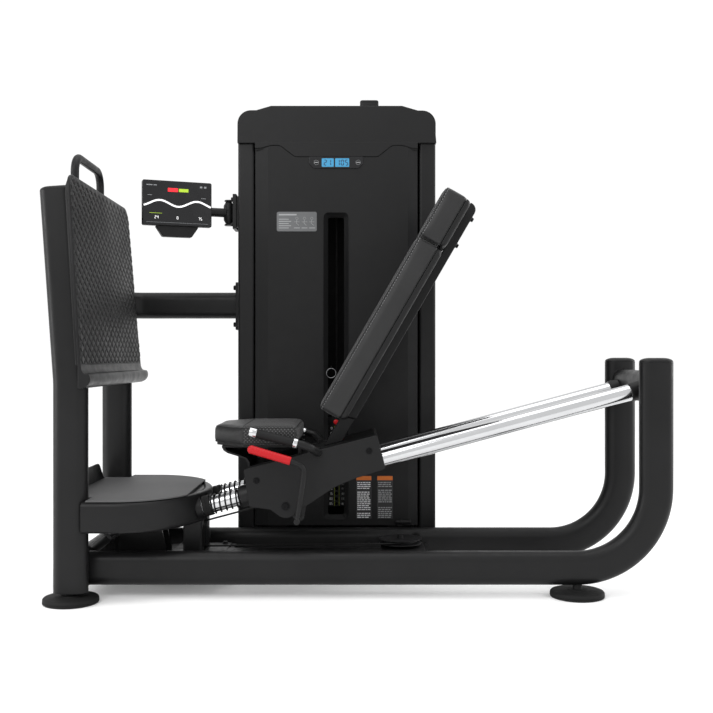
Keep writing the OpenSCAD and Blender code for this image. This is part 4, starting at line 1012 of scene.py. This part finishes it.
# placard and two plain decals: generic bars only
v, f = prism(round_poly([(-273.1, 1139.5), (-136.1, 1139.5), (-136.1, 1206.5), (-273.1, 1206.5)], 6, 5), TY - 1.1, TY + 0.2, 'Y')
make("placard", v, f, M_PLACARD, bevel=0.4, seg=2, rep=("info_plates",), sl="labels")
g = []
for i in range(5):
    g.append(((-266, 1150 + i * 7.5), (-232 + (i % 2) * 8, 1152.4 + i * 7.5)))
g += [((-266, 1194), (-205, 1199))]
for i in range(3):
    g.append(((-214 + i * 26, 1150), (-194 + i * 26, 1152.5)))
bars = [prism([(a[0], a[1]), (b[0], a[1]), (b[0], b[1]), (a[0], b[1])], TY - 1.45, TY - 1.0, 'Y') for a, b in g]
make("placard_bars", *join_geo(bars), M_GREYPRINT, sl="labels")
pk = []
for cxx in (-204, -178, -153):
    pk.append(xf(lathe([(3.6, 0), (4.6, 0), (4.6, 0.4), (3.6, 0.4)], 20), T(cxx, TY - 1.05, 1184) @ R(90, 'X')))
    pk.append(tube([(cxx, TY - 1.2, 1178), (cxx - 2, TY - 1.2, 1168), (cxx + 6, TY - 1.2, 1160)], 0.9, 6))
    pk.append(tube([(cxx - 9, TY - 1.2, 1172), (cxx + 9, TY - 1.2, 1172)], 0.8, 6))
make("placard_pictures", *join_geo(pk), M_GREYPRINT, sl="labels")
for i, (a, b) in enumerate(((-1.2, 51.5), (70.5, 124.5))):
    v, f = prism(round_poly([(a, 155.5), (b, 155.5), (b, 302.5), (a, 302.5)], 2.5, 3), TY - 0.9, TY + 0.2, 'Y')
    make("decal_%d" % i, v, f, M_DECAL, sl="labels")
    og = [prism(round_poly([(a + 0.8, 287.5), (b - 0.8, 287.5), (b - 0.8, 301.6), (a + 0.8, 301.6)], [0, 0, 2, 2], 3), TY - 1.2, TY - 0.7, 'Y')]
    make("decal_band_%d" % i, *join_geo(og), M_ORANGE, sl="labels")
    ln = []
    rs = np.random.RandomState(4 + i)
    for r_ in range(19):
        z = 159 + r_ * 6.6
        if r_ in ((3, 14) if i == 0 else (6, 7, 15)):
            continue
        x = a + 4
        while x < b - 8:
            w_ = 4 + rs.rand() * 9
            ln.append(prism([(x, z), (min(x + w_, b - 4), z), (min(x + w_, b - 4), z + 3.2), (x, z + 3.2)], TY - 1.15, TY - 0.8, 'Y'))
            x += w_ + 2.2
    make("decal_lines_%d" % i, *join_geo(ln), M_WHITE if i == 0 else M_GREYPRINT, sl="labels")

# barrel socket below the labels
v, f = join_geo([xf(lathe([(0.01, 0), (7, 0), (8, 1.5), (8, 50.5), (7, 52), (4.5, 52), (4.2, 51), (4.2, 44), (0.01, 44)], 32), T(134, TY - 10, 146) @ R(90, 'Y')),
                 xf(lathe([(8.0, 0), (9.4, 0.6), (9.4, 5.4), (8.0, 6)], 32), T(150, TY - 10, 146) @ R(90, 'Y')),
                 prism(round_poly([(140, 132), (154, 132), (154, 140), (140, 140)], 1.5, 3), TY - 12, TY, 'Y')])
make("socket_barrel", v, f, M_PLASTIC, rep=("barrel_socket",), sl="black_plastic", bevel=0.5, seg=2)
# sensor box on the cap
ob = round_poly([(-32, -25), (32, -25), (32, 25), (-32, 25)], 10, 6)
v, f = loft([[(x, y, 0) for x, y in ob], [(x, y, 12) for x, y in ob], [(x * 0.985, y * 0.985, 13.2) for x, y in ob], [(x * 0.985, y * 0.985, 14.2) for x, y in ob], [(x, y, 15.2) for x, y in ob],
             [(x * 0.99, y * 0.99, 20) for x, y in ob], [(x * 0.93, y * 0.91, 22.6) for x, y in ob]])
make("sensor_case", v, f, M_PLASTIC, M=T(44, 295, 1571), rep=("sensor_box",), sl="black_plastic", sharp=28)

# stack marks: numbers and coloured rules on the plates' front edges
def digits_mesh(txt, x, z, w, h, t, y):
    out = []
    for i, ch in enumerate(txt):
        for q in seven(ch, x + i * (w + 1.2), z, w, h, t):
            out.append(prism(q, y - 0.35, y, 'Y'))
    return out


num, rul, holes = [], [], []
for i in range(16):
    z = 190 + i * 17.5 + 4
    kg = str(5 * (16 - i) + 5)
    num += digits_mesh(kg, -93.5 if len(kg) < 3 else -96, z, 3.4 if len(kg) > 2 else 4.2, 8.5, 1.0, 315.0)
    num += digits_mesh(str(11 * (16 - i) + 11), -53.5, z, 3.0, 8.0, 0.9, 315.0)
    for xx in (-77.6, -61.6):
        rul.append(prism([(xx, 191 + i * 17.5), (xx + 2.2, 191 + i * 17.5), (xx + 2.2, 206 + i * 17.5), (xx, 206 + i * 17.5)], 314.7, 315, 'Y'))
make("stack_numbers", *join_geo(num), M_WHITE, sl="labels")
make("stack_rules", *join_geo(rul), M_LIME, sl="labels")
# selector pin: red ribbed knob, pale neck, steel shaft; the lanyard's ring hangs above
kn = [(0.01, 0), (6.4, 0), (8.2, 1.2), (8.8, 3), (8.8, 7), (8.2, 9), (8.2, 10.5), (6.4, 11.5), (0.01, 11.5)]
Mp = T(-70, 243.5, 487) @ R(-90, 'X')
v, f = lathe(kn, 48)
make("pin_knob", v, f, M_RED, "pin", Mp, rep=("selector_pin",), sl="pin")
v, f = lathe([(0.01, 11), (6.6, 11), (6.6, 19), (6, 20.5), (5, 20.5), (5, 132), (4, 134.5), (0.01, 134.5)], 32)
make("pin_shaft", v, f, M_ZINC, "pin", Mp, sl="pin")
rg = [(16.2 * math.cos(a), 0, 16.2 * math.sin(a)) for a in np.linspace(0, 2 * math.pi, 49)[:-1]]
v, f = sweep([(x, y, z) for x, y, z in rg], (0, 1, 0), circle(1.0, 10), closed=True)
make("lanyard_ring", v, f, M_ZINC, M=T(-87, 262, 654), sl="chrome")
v, f = tube([(-87, 263.5, 672), (-87, 270, 671), (-87, 284, 674), (-87, 284, 668)], 2.2, 10)
v3, f3 = tube([(-87, 262, 670.2), (-87, 262, 676), (-87, 271, 678)], 1.6, 10)
make("lanyard_hook", v3, f3, M_PLASTIC, sl="black_plastic", bevel=0.4, seg=2)

# ------------------------------------------------------------------ carriage
so = [(-340, 371), (62, 475), (88, 373), (-1.5, 345), (-62, 320), (-111, 288), (-150, 262)]
so += [(-213 + 37 * math.cos(math.radians(a)), 262 + 37 * math.sin(math.radians(a))) for a in np.linspace(-14, -120, 16)]
so += [(-258, 250), (-323, 259)]
so = round_poly(so, [8, 8, 8, 0, 0, 0, 0] + [0] * 16 + [10, 8], 4)
for s, nm in ((-1, "near"), (1, "far")):
    v, f = prism(so, s * 160, s * 154, 'Y')
    make("side_plate_" + nm, v, f, M_SHROUD, "carriage", bevel=1.6, rep=("carriage_side_plates",) if s < 0 else (), sl="frame_paint", sharp=30)
    for i, (x, z, r) in enumerate(((-301, 338, 6.5), (38, 427, 6.5), (-213, 261, 8.5))):
        bolt(T(x, s * 160, z) @ R(90 * (1 if s < 0 else -1), 'X'), r, 6.5 if r < 8 else 7.5, M_DKBOLT, "side_bolt_%s_%d" % (nm, i), "carriage", hexa=False)

# hand grips
hang = math.degrees(math.atan((487 - 456) / (304.5 - 180)))
HY = 226
for s, nm in ((-1, "near"), (1, "far")):
    G = T(-304.5, s * HY, 487) @ R(90 + hang, 'Y')
    c_, s_ = math.cos(math.radians(hang)), math.sin(math.radians(hang))
    at = lambda t: (-304.5 + t * c_, s * HY, 487 - t * s_)
    pth = bent([at(4), at(170), (-117, s * 176, 423), (-115, s * 140, 419)], 34, 12)
    v, f = tube(pth, 12.5, 28)
    parts = [(v, f)]
    hx, _, hz = at(190)
    parts.append(tube([(hx + 2, s * 136, hz - 4), (hx + 2, s * 136, 425)], 8.5, 20))
    make("grip_bar_" + nm, *join_geo(parts), M_FRAME, "carriage", rep=("handle_tubes",) if s < 0 else (), sl="frame_paint")
    # moulded grip with shallow finger rings
    pr = [(12.6, 11.2)]
    for q in np.linspace(11.2, 122, 60):
        pr.append((13.55 + 0.22 * math.cos(q * 2 * math.pi / 7.4), q))
    pr.append((12.6, 122))
    v, f = lathe(pr, 40)
    make("grip_sleeve_" + nm, v, f, M_GRIP, "carriage", G, rep=("handle_grips",) if s < 0 else (), sl="bumper_rubber", sharp=50)
    v, f = lathe([(0.01, -11), (12.5, -11), (14.6, -10), (15.5, -8), (15.5, 10), (15, 11), (12.6, 11)], 48)
    make("end_ring_" + nm, v, f, M_CHROME, "carriage", G, rep=("grip_rings",) if s < 0 else (), sl="chrome")
    v, f = lathe([(12.6, 122.5), (15, 122.5), (15.5, 123.2), (15.5, 133.8), (15, 134.5), (12.6, 134.5)], 48)
    make("inner_ring_" + nm, v, f, M_CHROME, "carriage", G, sl="chrome")

# release lever
lev = bent([(-174, -255, 230), (-157, -255, 338), (-151.5, -255, 388), (-192, -255, 406.5), (-250, -255, 423.6)], [40, 24, 60], 10)
v, f = tube([(-174, 156, 230), (-174, -247.5, 230)], 7.5, 24)
v2, f2 = tube(lev, 7.3, 24)
v3, f3 = lathe([(0.01, -9), (8, -9), (9, -8), (9, 8), (8, 9), (0.01, 9)], 32)
make("lever_rod", *join_geo([(v, f), (v2, f2), xf((v3, f3), T(-174, -254, 230) @ R(90, 'X'))]), M_FRAME, "lever", rep=("release_lever",), sl="frame_paint")
v, f = prism(round_poly([(-180, 232), (-168, 232), (-168, 262), (-174, 268), (-180, 262)], 2, 3), -40, -20, 'Y')
make("lever_pawl", v, f, M_ZINC, "lever", bevel=0.8, sl="frame_paint")
LG = T(-192, -255, 406.5) @ R(math.degrees(math.atan2(-124, 36.5)), 'Y')
pr = [(7.6, 0), (11.2, 0), (12.2, 1.4), (12.5, 3)]
for q in np.linspace(6, 112, 54):
    pr.append((12.15 + 0.3 * math.cos(q * 2 * math.pi / 8.2), q))
pr += [(12.5 * math.cos(math.radians(a)), 118 + 12.5 * math.sin(math.radians(a))) for a in np.linspace(4, 88, 10)] + [(0.01, 130.5)]
v, f = lathe(pr, 40, closed=True)
make("lever_sleeve", v, f, M_RED, "lever", LG, rep=("lever_grip",), sl="red_grip", sharp=50)

# ------------------------------------------------------------------ console
BX, BY, AA = -447, 330, 20.5
AD = Vector((math.cos(math.radians(AA)), math.sin(math.radians(AA)), 0))
v, f = join_geo([lathe([(6.06, 1174), (10, 1174), (18, 1188), (18, 1205), (17.2, 1206), (17.2, 1220), (18, 1221), (18, 1238), (10, 1252), (6.06, 1252)], 48)])
make("swivel_boss", v, f, M_PLASTIC, "arm", T(BX, BY, 0), rep=("console_arm",), sl="black_plastic", sharp=30)
st = Vector((BX, BY, 1213)) - AD * 12
v, f = tube([st, st - AD * 209, st - AD * 211.5], [15.5, 15.5, 13.5], 32)
make("swing_arm", v, f, M_PLASTIC, "arm", sl="black_plastic", sharp=30)
CS = T(-603.6, 204, 1227.1) @ R(AA, 'Z')
ob = round_poly([(-116.8, -75.6), (116.8, -75.6), (116.8, 75.6), (-116.8, 75.6)], 6, 5)
v, f = prism(ob, 1.2, 24, 'Y')
make("screen_case", v, f, M_PLASTIC, "screen", CS, bevel=2.2, seg=3, rep=("console_screen",), sl="screen")
ob = round_poly([(-115.2, -74), (115.2, -74), (115.2, 74), (-115.2, 74)], 5, 5)
v, f = prism(ob, 0.1, 1.6, 'Y')
make("screen_glass", v, f, M_GLASS, "screen", CS, bevel=0.5, seg=2, sl="screen")
tp = round_poly([(-60, -68), (-72, -76.2), (-48, -111.6), (50, -111.6), (74, -76.2), (60, -68)], [2, 5, 8, 8, 5, 2], 4)
v, f = prism(tp, 8, 34, 'Y')
make("screen_cover", v, f, M_PLASTIC, "screen", CS, bevel=2.0, sl="screen")
v, f = join_geo([prism(round_poly([(-24, -28), (24, -28), (24, 0), (-24, 0)], 3, 3), 23.6, 44, 'Y'),
                 xf(lathe([(15.6, -24), (22, -24), (23, -23), (23, 23), (22, 24), (15.6, 24)], 48), T(0, 63.2, -14.1) @ R(90, 'Y')),
                 prism(round_poly([(-16, -56), (16, -56), (16, 26), (-16, 26)], 4, 3), 23.4, 30, 'Y')])
make("screen_clamp", v, f, M_PLASTIC, "screen", CS, bevel=0.8, sl="screen", seg=2)
# screen picture: a wave, two bars and small marks, all generic
wv = [(x, 0.0, -1 + 10 * math.cos(2 * math.pi * (x + 60) / 126)) for x in np.linspace(-113, 113, 100)]
rib = sweep(wv, (0, 1, 0), [(-2.9, -0.3), (2.9, -0.3), (2.9, 0.3), (-2.9, 0.3)])
make("screen_wave", *rib, M_SWHITE, "screen", CS, sl="screen", sharp=30)
q = lambda a, b, c, d, y0=-0.35, y1=0.3: prism([(a, b), (c, b), (c, d), (a, d)], y0, y1, 'Y')
make("screen_red", *q(-32.6, 38.5, 1.2, 51), M_SRED, "screen", CS, sl="screen")
make("screen_green", *q(4.4, 39, 36.6, 50), M_SGREEN, "screen", CS, sl="screen")
make("screen_line", *q(-94, -35.6, -52, -34.4), M_SGREEN, "screen", CS, sl="screen")
dgs = []
for txt, xx in (("24", -77), ("0", -3), ("75", 70)):
    for i, ch in enumerate(txt):
        for quad in seven(ch, xx + i * 7.5, -53.5, 5.5, 10, 1.5):
            dgs.append(prism(quad, -0.35, 0.3, 'Y'))
make("screen_digits", *join_geo(dgs), M_SWHITE, "screen", CS, sl="screen")
mk = [q(-104, 57, -84, 60), q(-80, 57, -70, 60), q(76, 56, 84, 62), q(90, 56, 98, 62), q(-104, -66, 104, -65.2), q(80, 20, 96, 21.6), q(-100, 24, -86, 25.6)]
make("screen_marks", *join_geo(mk), M_SGREY, "screen", CS, sl="screen")

# ------------------------------------------------------------------ upholstery
def pad_object(name, v, f, M, voxel):
    me = bpy.data.meshes.new(name)
    me.from_pydata([P(M @ Vector(p)) for p in v], [], [list(t) for t in f])
    bm = bmesh.new()
    bm.from_mesh(me)
    bmesh.ops.recalc_face_normals(bm, faces=bm.faces)
    bm.to_mesh(me)
    bm.free()
    o = bpy.data.objects.new(name, me)
    scene.collection.objects.link(o)
    r = o.modifiers.new("remesh", "REMESH")
    r.mode = "VOXEL"
    r.voxel_size = voxel
    dg_ = bpy.context.evaluated_depsgraph_get()
    me2 = bpy.data.meshes.new_from_object(o.evaluated_get(dg_))
    o.modifiers.clear()
    o.data = me2
    return o


def puff(o, pressure, cap, pin=None, smooth=2):
    """Cloth simulation of an inflated cover, its movement capped, applied to the mesh."""
    rest = [v_.co.copy() for v_ in o.data.vertices]
    c = o.modifiers.new("cloth", "CLOTH")
    st_ = c.settings
    st_.use_pressure = True
    st_.uniform_pressure_force = pressure
    st_.effector_weights.gravity = 0
    st_.quality = 5
    st_.mass = 0.4
    st_.tension_stiffness = 12
    st_.compression_stiffness = 12
    st_.bending_stiffness = 1.2
    st_.air_damping = 3
    if pin is not None:
        vg = o.vertex_groups.new(name="pin")
        idx = [i for i, p in enumerate(rest) if pin(p)]
        vg.add(idx, 1.0, 'REPLACE')
        st_.vertex_group_mass = "pin"
    c.point_cache.frame_start = 1
    c.point_cache.frame_end = 20
    for fr in range(1, 21):
        scene.frame_set(fr)
    me = bpy.data.meshes.new_from_object(o.evaluated_get(bpy.context.evaluated_depsgraph_get()))
    moved = [v_.co.copy() for v_ in me.vertices]
    o.modifiers.clear()
    o.vertex_groups.clear()
    for v_, a, b in zip(o.data.vertices, rest, moved):
        d = b - a
        if d.length > cap:
            d = d.normalized() * cap
        v_.co = a + d
    scene.frame_set(1)
    bm = bmesh.new()
    bm.from_mesh(o.data)
    for _ in range(smooth):
        bmesh.ops.smooth_vert(bm, verts=bm.verts, factor=0.5, use_axis_x=True, use_axis_y=True, use_axis_z=True)
    bm.to_mesh(o.data)
    bm.free()
    o.data.shade_smooth()
    s_ = o.modifiers.new("sub", "SUBSURF")
    s_.levels = s_.render_levels = 1
    return o


def surf_bvh(o):
    dg_ = bpy.context.evaluated_depsgraph_get()
    return BVHTree.FromObject(o, dg_)


def on_surface(bvh, pts_mm, M, lift=0.0):
    """Path points (mm, local) dropped onto the pad's surface, lifted by lift mm; returned in metres."""
    out = []
    for p in pts_mm:
        w = P(M @ Vector(p))
        loc, nrm, _, _ = bvh.find_nearest(w)
        out.append((loc + nrm * (lift / 1000), nrm))
    return out


def raw(name, verts, faces, mat, body, sharp=60, sub=0):
    me = bpy.data.meshes.new(name)
    me.from_pydata([tuple(p) for p in verts], [], [list(t) for t in faces])
    me.shade_smooth()
    me.materials.append(mat)
    o = bpy.data.objects.new(name, me)
    scene.collection.objects.link(o)
    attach(o, body)
    return o


def resample(pts, step):
    pts = [Vector(p) for p in pts]
    d = [0]
    for a, b in zip(pts, pts[1:]):
        d.append(d[-1] + (b - a).length)
    n = max(2, int(round(d[-1] / step)))
    out = []
    j = 0
    for i in range(n + 1):
        t = d[-1] * i / n
        while j < len(d) - 2 and d[j + 1] < t:
            j += 1
        seg_ = max(1e-9, d[j + 1] - d[j])
        out.append(pts[j].lerp(pts[j + 1], (t - d[j]) / seg_))
    return out


def welt(name, bvh, pts_mm, M, r, mat, body, lift=0.3, closed=False, n=8):
    """A sewn cord or seam that follows the surface."""
    pp = resample(pts_mm, 6)
    sp = on_surface(bvh, pp, M, lift)
    path = [p for p, _ in sp]
    m = len(path)
    rings = []
    for i, (p, nrm) in enumerate(sp):
        if closed:
            t = (path[(i + 1) % (m - 1)] - path[(i - 1) % (m - 1)]).normalized()
        else:
            t = (path[min(i + 1, m - 1)] - path[max(i - 1, 0)]).normalized()
        a = t.cross(nrm).normalized()
        b = a.cross(t).normalized()
        rings.append([p + (a * math.cos(2 * math.pi * j / n) + b * math.sin(2 * math.pi * j / n)) * (r / 1000) for j in range(n)])
    v, f = loft(rings, caps=not closed)
    return raw(name, v, f, mat, body)


def stitches(name, bvh, pts_mm, M, body, pitch=6.0, ln=4.2, r=0.55, mat=None, lift=0.35):
    pp = resample(pts_mm, pitch)
    sp = on_surface(bvh, pp, M, lift)
    parts = []
    for i in range(len(sp) - 1):
        p, nrm = sp[i]
        t = (sp[i + 1][0] - p)
        if t.length < 1e-6:
            continue
        t.normalize()
        a = t.cross(nrm).normalized()
        b = a.cross(t).normalized()
        rings = []
        for q_, k_ in ((-0.5, 0.15), (-0.36, 0.8), (0, 1.0), (0.36, 0.8), (0.5, 0.15)):
            c = p + t * (q_ * ln / 1000)
            rings.append([c + (a * math.cos(2 * math.pi * j / 6) + b * math.sin(2 * math.pi * j / 6)) * (r * k_ / 1000) for j in range(6)])
        parts.append(loft(rings))
    v, f = join_geo(parts)
    return raw(name, v, f, mat or M_THREAD, body)


M_THREAD = coated("stitch_thread", (0.14, 0.14, 0.142), 0.7, 3000, 0.4, 0.0002)
M_PIPING = coated("piping_vinyl", (0.016, 0.016, 0.0165), 0.42, 1800, 0.2, 0.0003)

# seat: top outline
SEAT = [(-430, -86), (-338, -187), (-186, -187), (-186, 187), (-338, 187), (-430, 86)]


def seat_out(g, r=12):
    q = [(-430 + g, -86 + g * 0.4), (-338 + g * 0.6, -187 + g), (-184 - g, -187 + g), (-184 - g, 187 - g), (-338 + g * 0.6, 187 - g), (-430 + g, 86 - g * 0.4)]
    return round_poly(q, [r, 20, 14, 14, 20, r], 6)


rings = [[(x, y, z) for x, y in seat_out(g, 9)] for z, g in ((446.5, 0), (449, -4), (456, -7), (490, -7), (497, -5), (500.5, 0), (502, 8))]
v, f = loft(rings)
seat = pad_object("seat_cushion", v, f, I4, 0.005)
seat = puff(seat, 1.2, 0.0022, pin=lambda p: p.z < 0.4485)
seat.data.materials.clear()
seat.data.materials.append(M_SEAT)
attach(seat, "carriage")
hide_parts("seat_pad")
bv = surf_bvh(seat)
# board under the cushion
bo = round_poly([(-430, -84), (-339, -182), (-186, -182), (-186, 182), (-339, 182), (-430, 84)], [12, 24, 18, 18, 24, 12], 5)
v, f = prism(bo, 440, 448.5, 'Z')
make("seat_board", v, f, M_PLASTIC, "carriage", bevel=1.2, sl="upholstery")
loop = [(x, y, 449.5) for x, y in seat_out(-6)]
welt("seat_lower_piping", bv, loop + [loop[0]], I4, 1.9, M_PIPING, "carriage", 0.2, closed=True)
for s, nm in ((-1, "near"), (1, "far")):
    # vertical seam at the chamfer's corner and its run over the top
    vs_ = [(-337, s * 192, z) for z in (452, 462, 474, 486, 492)]
    welt("seat_seam_" + nm, bv, vs_, I4, 1.0, M_PIPING, "carriage", 0.1)
    stitches("seat_stitch_" + nm, bv, [(-333.5, s * 192, z) for z in (453, 470, 492)], I4, "carriage", 5.2, 3.4, 0.5)
topl = [(-337, y, 502) for y in np.linspace(-180, 180, 40)]
welt("seat_top_seam", bv, topl, I4, 1.0, M_PIPING, "carriage", 0.1)
stitches("seat_top_stitch", bv, [(-332.5, y, 502) for y in np.linspace(-178, 178, 30)], I4, "carriage", 6.5, 4.4, 0.55)
edge_l = [(x, y, 499) for x, y in seat_out(-4)]
welt("seat_edge_seam", bv, edge_l + [edge_l[0]], I4, 0.9, M_PIPING, "carriage", 0.05, closed=True)


def back_pad(nm, z0, z1, cap=0.006):
    W = 156
    def o(g, r=18):
        return round_poly([(-W + g, z0 + g), (W - g, z0 + g), (W - g, z1 - g), (-W + g, z1 - g)], r, 6)
    rings = [[(x, a, b) for a, b in o(g)] for x, g in ((13, 12), (8, 5), (9, 3.5))]
    rings = [[(x, a, b) for a, b in o(g, 12)] for x, g in ((-3.0, 9), (-1.4, 4), (2.0, 1), (8.0, 0), (61.0, 0), (66.5, 1), (69.2, 5))]
    v, f = loft(rings)
    ob_ = pad_object(nm, v, f, BACK, 0.0055)
    inv = BACK.inverted()
    def loc(p):
        return inv @ Vector(((p.x + OX) * 1000, (p.y + OY) * 1000, p.z * 1000))
    ob_ = puff(ob_, 1.2, 0.0025, pin=lambda p: loc(p).x > 66.5)
    ob_.data.materials.clear()
    ob_.data.materials.append(M_BACKV)
    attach(ob_, "carriage")
    b_ = surf_bvh(ob_)
    W2 = 156
    def lp(x, g):
        l = [(x, a, b) for a, b in round_poly([(-W2 + g, z0 + g), (W2 - g, z0 + g), (W2 - g, z1 - g), (-W2 + g, z1 - g)], 18, 6)]
        return l + [l[0]]
    welt(nm + "_front_seam", b_, lp(2.4, 1), BACK, 1.3, M_PIPING, "carriage", 0.25, closed=True)
    stitches(nm + "_stitch_a", b_, lp(5.6, 0), BACK, "carriage", 9.0, 5.0, 1.25)
    stitches(nm + "_stitch_b", b_, lp(-2.4, 7), BACK, "carriage", 6.0, 4.0, 0.6)
    welt(nm + "_rear_piping", b_, lp(67.4, 2), BACK, 1.7, M_PIPING, "carriage", 0.0, closed=True)
    # moulded backing shell with rounded edges
    def sh(g, r=16):
        return round_poly([(-157 + g, z0 + 3 + g), (157 - g, z0 + 3 + g), (157 - g, z1 - 3 - g), (-157 + g, z1 - 3 - g)], r, 6)
    rr = [(69.2, 1.0), (70.2, 0.2), (73, 0.0), (77.5, 0.8), (82, 3.2), (85.2, 7), (86.8, 12)]
    v, f = loft([[(x, a, b) for a, b in sh(g)] for x, g in rr])
    make(nm + "_shell", v, f, M_CAP, "carriage", BACK, sl="upholstery", sharp=30)
    return ob_


bp = back_pad("back_cushion", -2, 597)
hp_ = back_pad("head_cushion", 602, 771, 0.0025)
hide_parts("back_pads")

# backrest channel: rounded rectangular section with a curved top
bo = [(87.4, 8.5), (114.6, 17.6)] + [(91 + 23.8 * math.cos(math.radians(a)), 763 + 23.8 * math.sin(math.radians(a))) for a in np.linspace(0, 90, 12)] + [(87.4, 786.8)]
v, f = prism([(a, b) for a, b in bo], -30, 30, 'Y')
parts = [(v, f)]
make("back_channel", v, f, M_FRAME, "carriage", BACK, bevel=3.0, seg=4, rep=("backrest_frame",), sl="frame_paint", sharp=24)
# foot of the channel, cut at the deck
def deck_z(x):
    return 378.4 + 0.2679 * x + 76.2 / math.cos(math.radians(15))


fp = [BACK @ Vector((lx, 0, lz)) for lx, lz in ((70.6, 1.0), (112.4, 16.0))]
d_ = (BACK.to_3x3() @ Vector((0, 0, -1)))
lowp = []
for p_ in fp:
    t_ = 0
    while p_.z + d_.z * t_ > deck_z(p_.x + d_.x * t_) and t_ < 400:
        t_ += 0.5
    lowp.append((p_.x + d_.x * t_, p_.z + d_.z * t_))
step_ = [BACK @ Vector((lx, 0, lz)) for lx, lz in ((88.2, 8.4), (88.2, 1.0))]
ol = [lowp[0], lowp[1], (fp[1].x, fp[1].z)] + [(q_.x, q_.z) for q_ in step_] + [(fp[0].x, fp[0].z)]
v, f = prism(ol, -26, 26, 'Y')
make("back_foot", v, f, M_FRAME, "carriage", bevel=2.0, sl="frame_paint", sharp=30)
v, f = prism(round_poly([(72, 585.6), (87.4, 585.6), (87.4, 604.4), (72, 604.4)], 2, 3), -40, 40, 'Y')
make("pad_spacer", v, f, M_PLASTIC, "carriage", BACK, bevel=0.8, seg=2, sl="frame_paint")
for i, z in enumerate((650.6, 746)):
    bolt(BACK @ T(115, 0, z) @ R(90, 'Y'), 6, 8, M_DKBOLT, "back_bolt_%d" % i, "carriage")

# the two cable lengths that change as the carriage slides: laid strands under a thin coat
def cable_piece(name, node, a, b, r, n=90):
    """A cable between two points in metres, its coat lightly ribbed by the strands."""
    a, b = Vector(a), Vector(b)
    t = (b - a).normalized()
    up = Vector((0, 1, 0))
    u = t.cross(up).normalized()
    w = t.cross(u).normalized()
    rings = []
    for i in range(n + 1):
        c = a.lerp(b, i / n)
        rings.append([c + (u * math.cos(q_) + w * math.sin(q_)) * (r * (1 - 0.04 * (0.5 + 0.5 * math.cos(6 * q_ - i * 0.9)))) for q_ in np.linspace(0, 2 * math.pi, 25)[:-1]])
    v, f = loft(rings)
    me = bpy.data.meshes.new(name)
    me.from_pydata([tuple(p) for p in v], [], [list(q_) for q_ in f])
    me.shade_smooth()
    me.materials.append(M_CABLE)
    o = bpy.data.objects.new(name, me)
    scene.collection.objects.link(o)
    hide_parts(node)
    return o


dl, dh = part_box("drive_cable")
cr, c15, s15 = 0.003, math.cos(math.radians(15)), math.sin(math.radians(15))
cy = (dl.y + dh.y) / 2
ca = (dl.x + cr * s15, cy, dl.z + cr * c15)
cb = (dh.x - cr * s15, cy, dh.z - cr * c15)
o = cable_piece("drive_line", "drive_cable", ca, cb, cr)
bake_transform(o)
dl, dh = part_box("stack_cable")
o = cable_piece("lift_line", "stack_cable", ((dl.x + dh.x) / 2, (dl.y + dh.y) / 2, dl.z), ((dl.x + dh.x) / 2, (dl.y + dh.y) / 2, dh.z), cr)
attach(o, "root")
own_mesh(o)

# grommets where the cable passes the far rail
for i, y in enumerate((171.2, 232.8)):
    v, f = lathe([(6, -1.2), (12.5, -1.2), (13.5, 0), (12.5, 1.2), (6, 1.2)], 32)
    make("cable_grommet_%d" % i, v, f, M_RUBBER, M=T(200, y, 111) @ R(90, 'X'), sl="bumper_rubber")
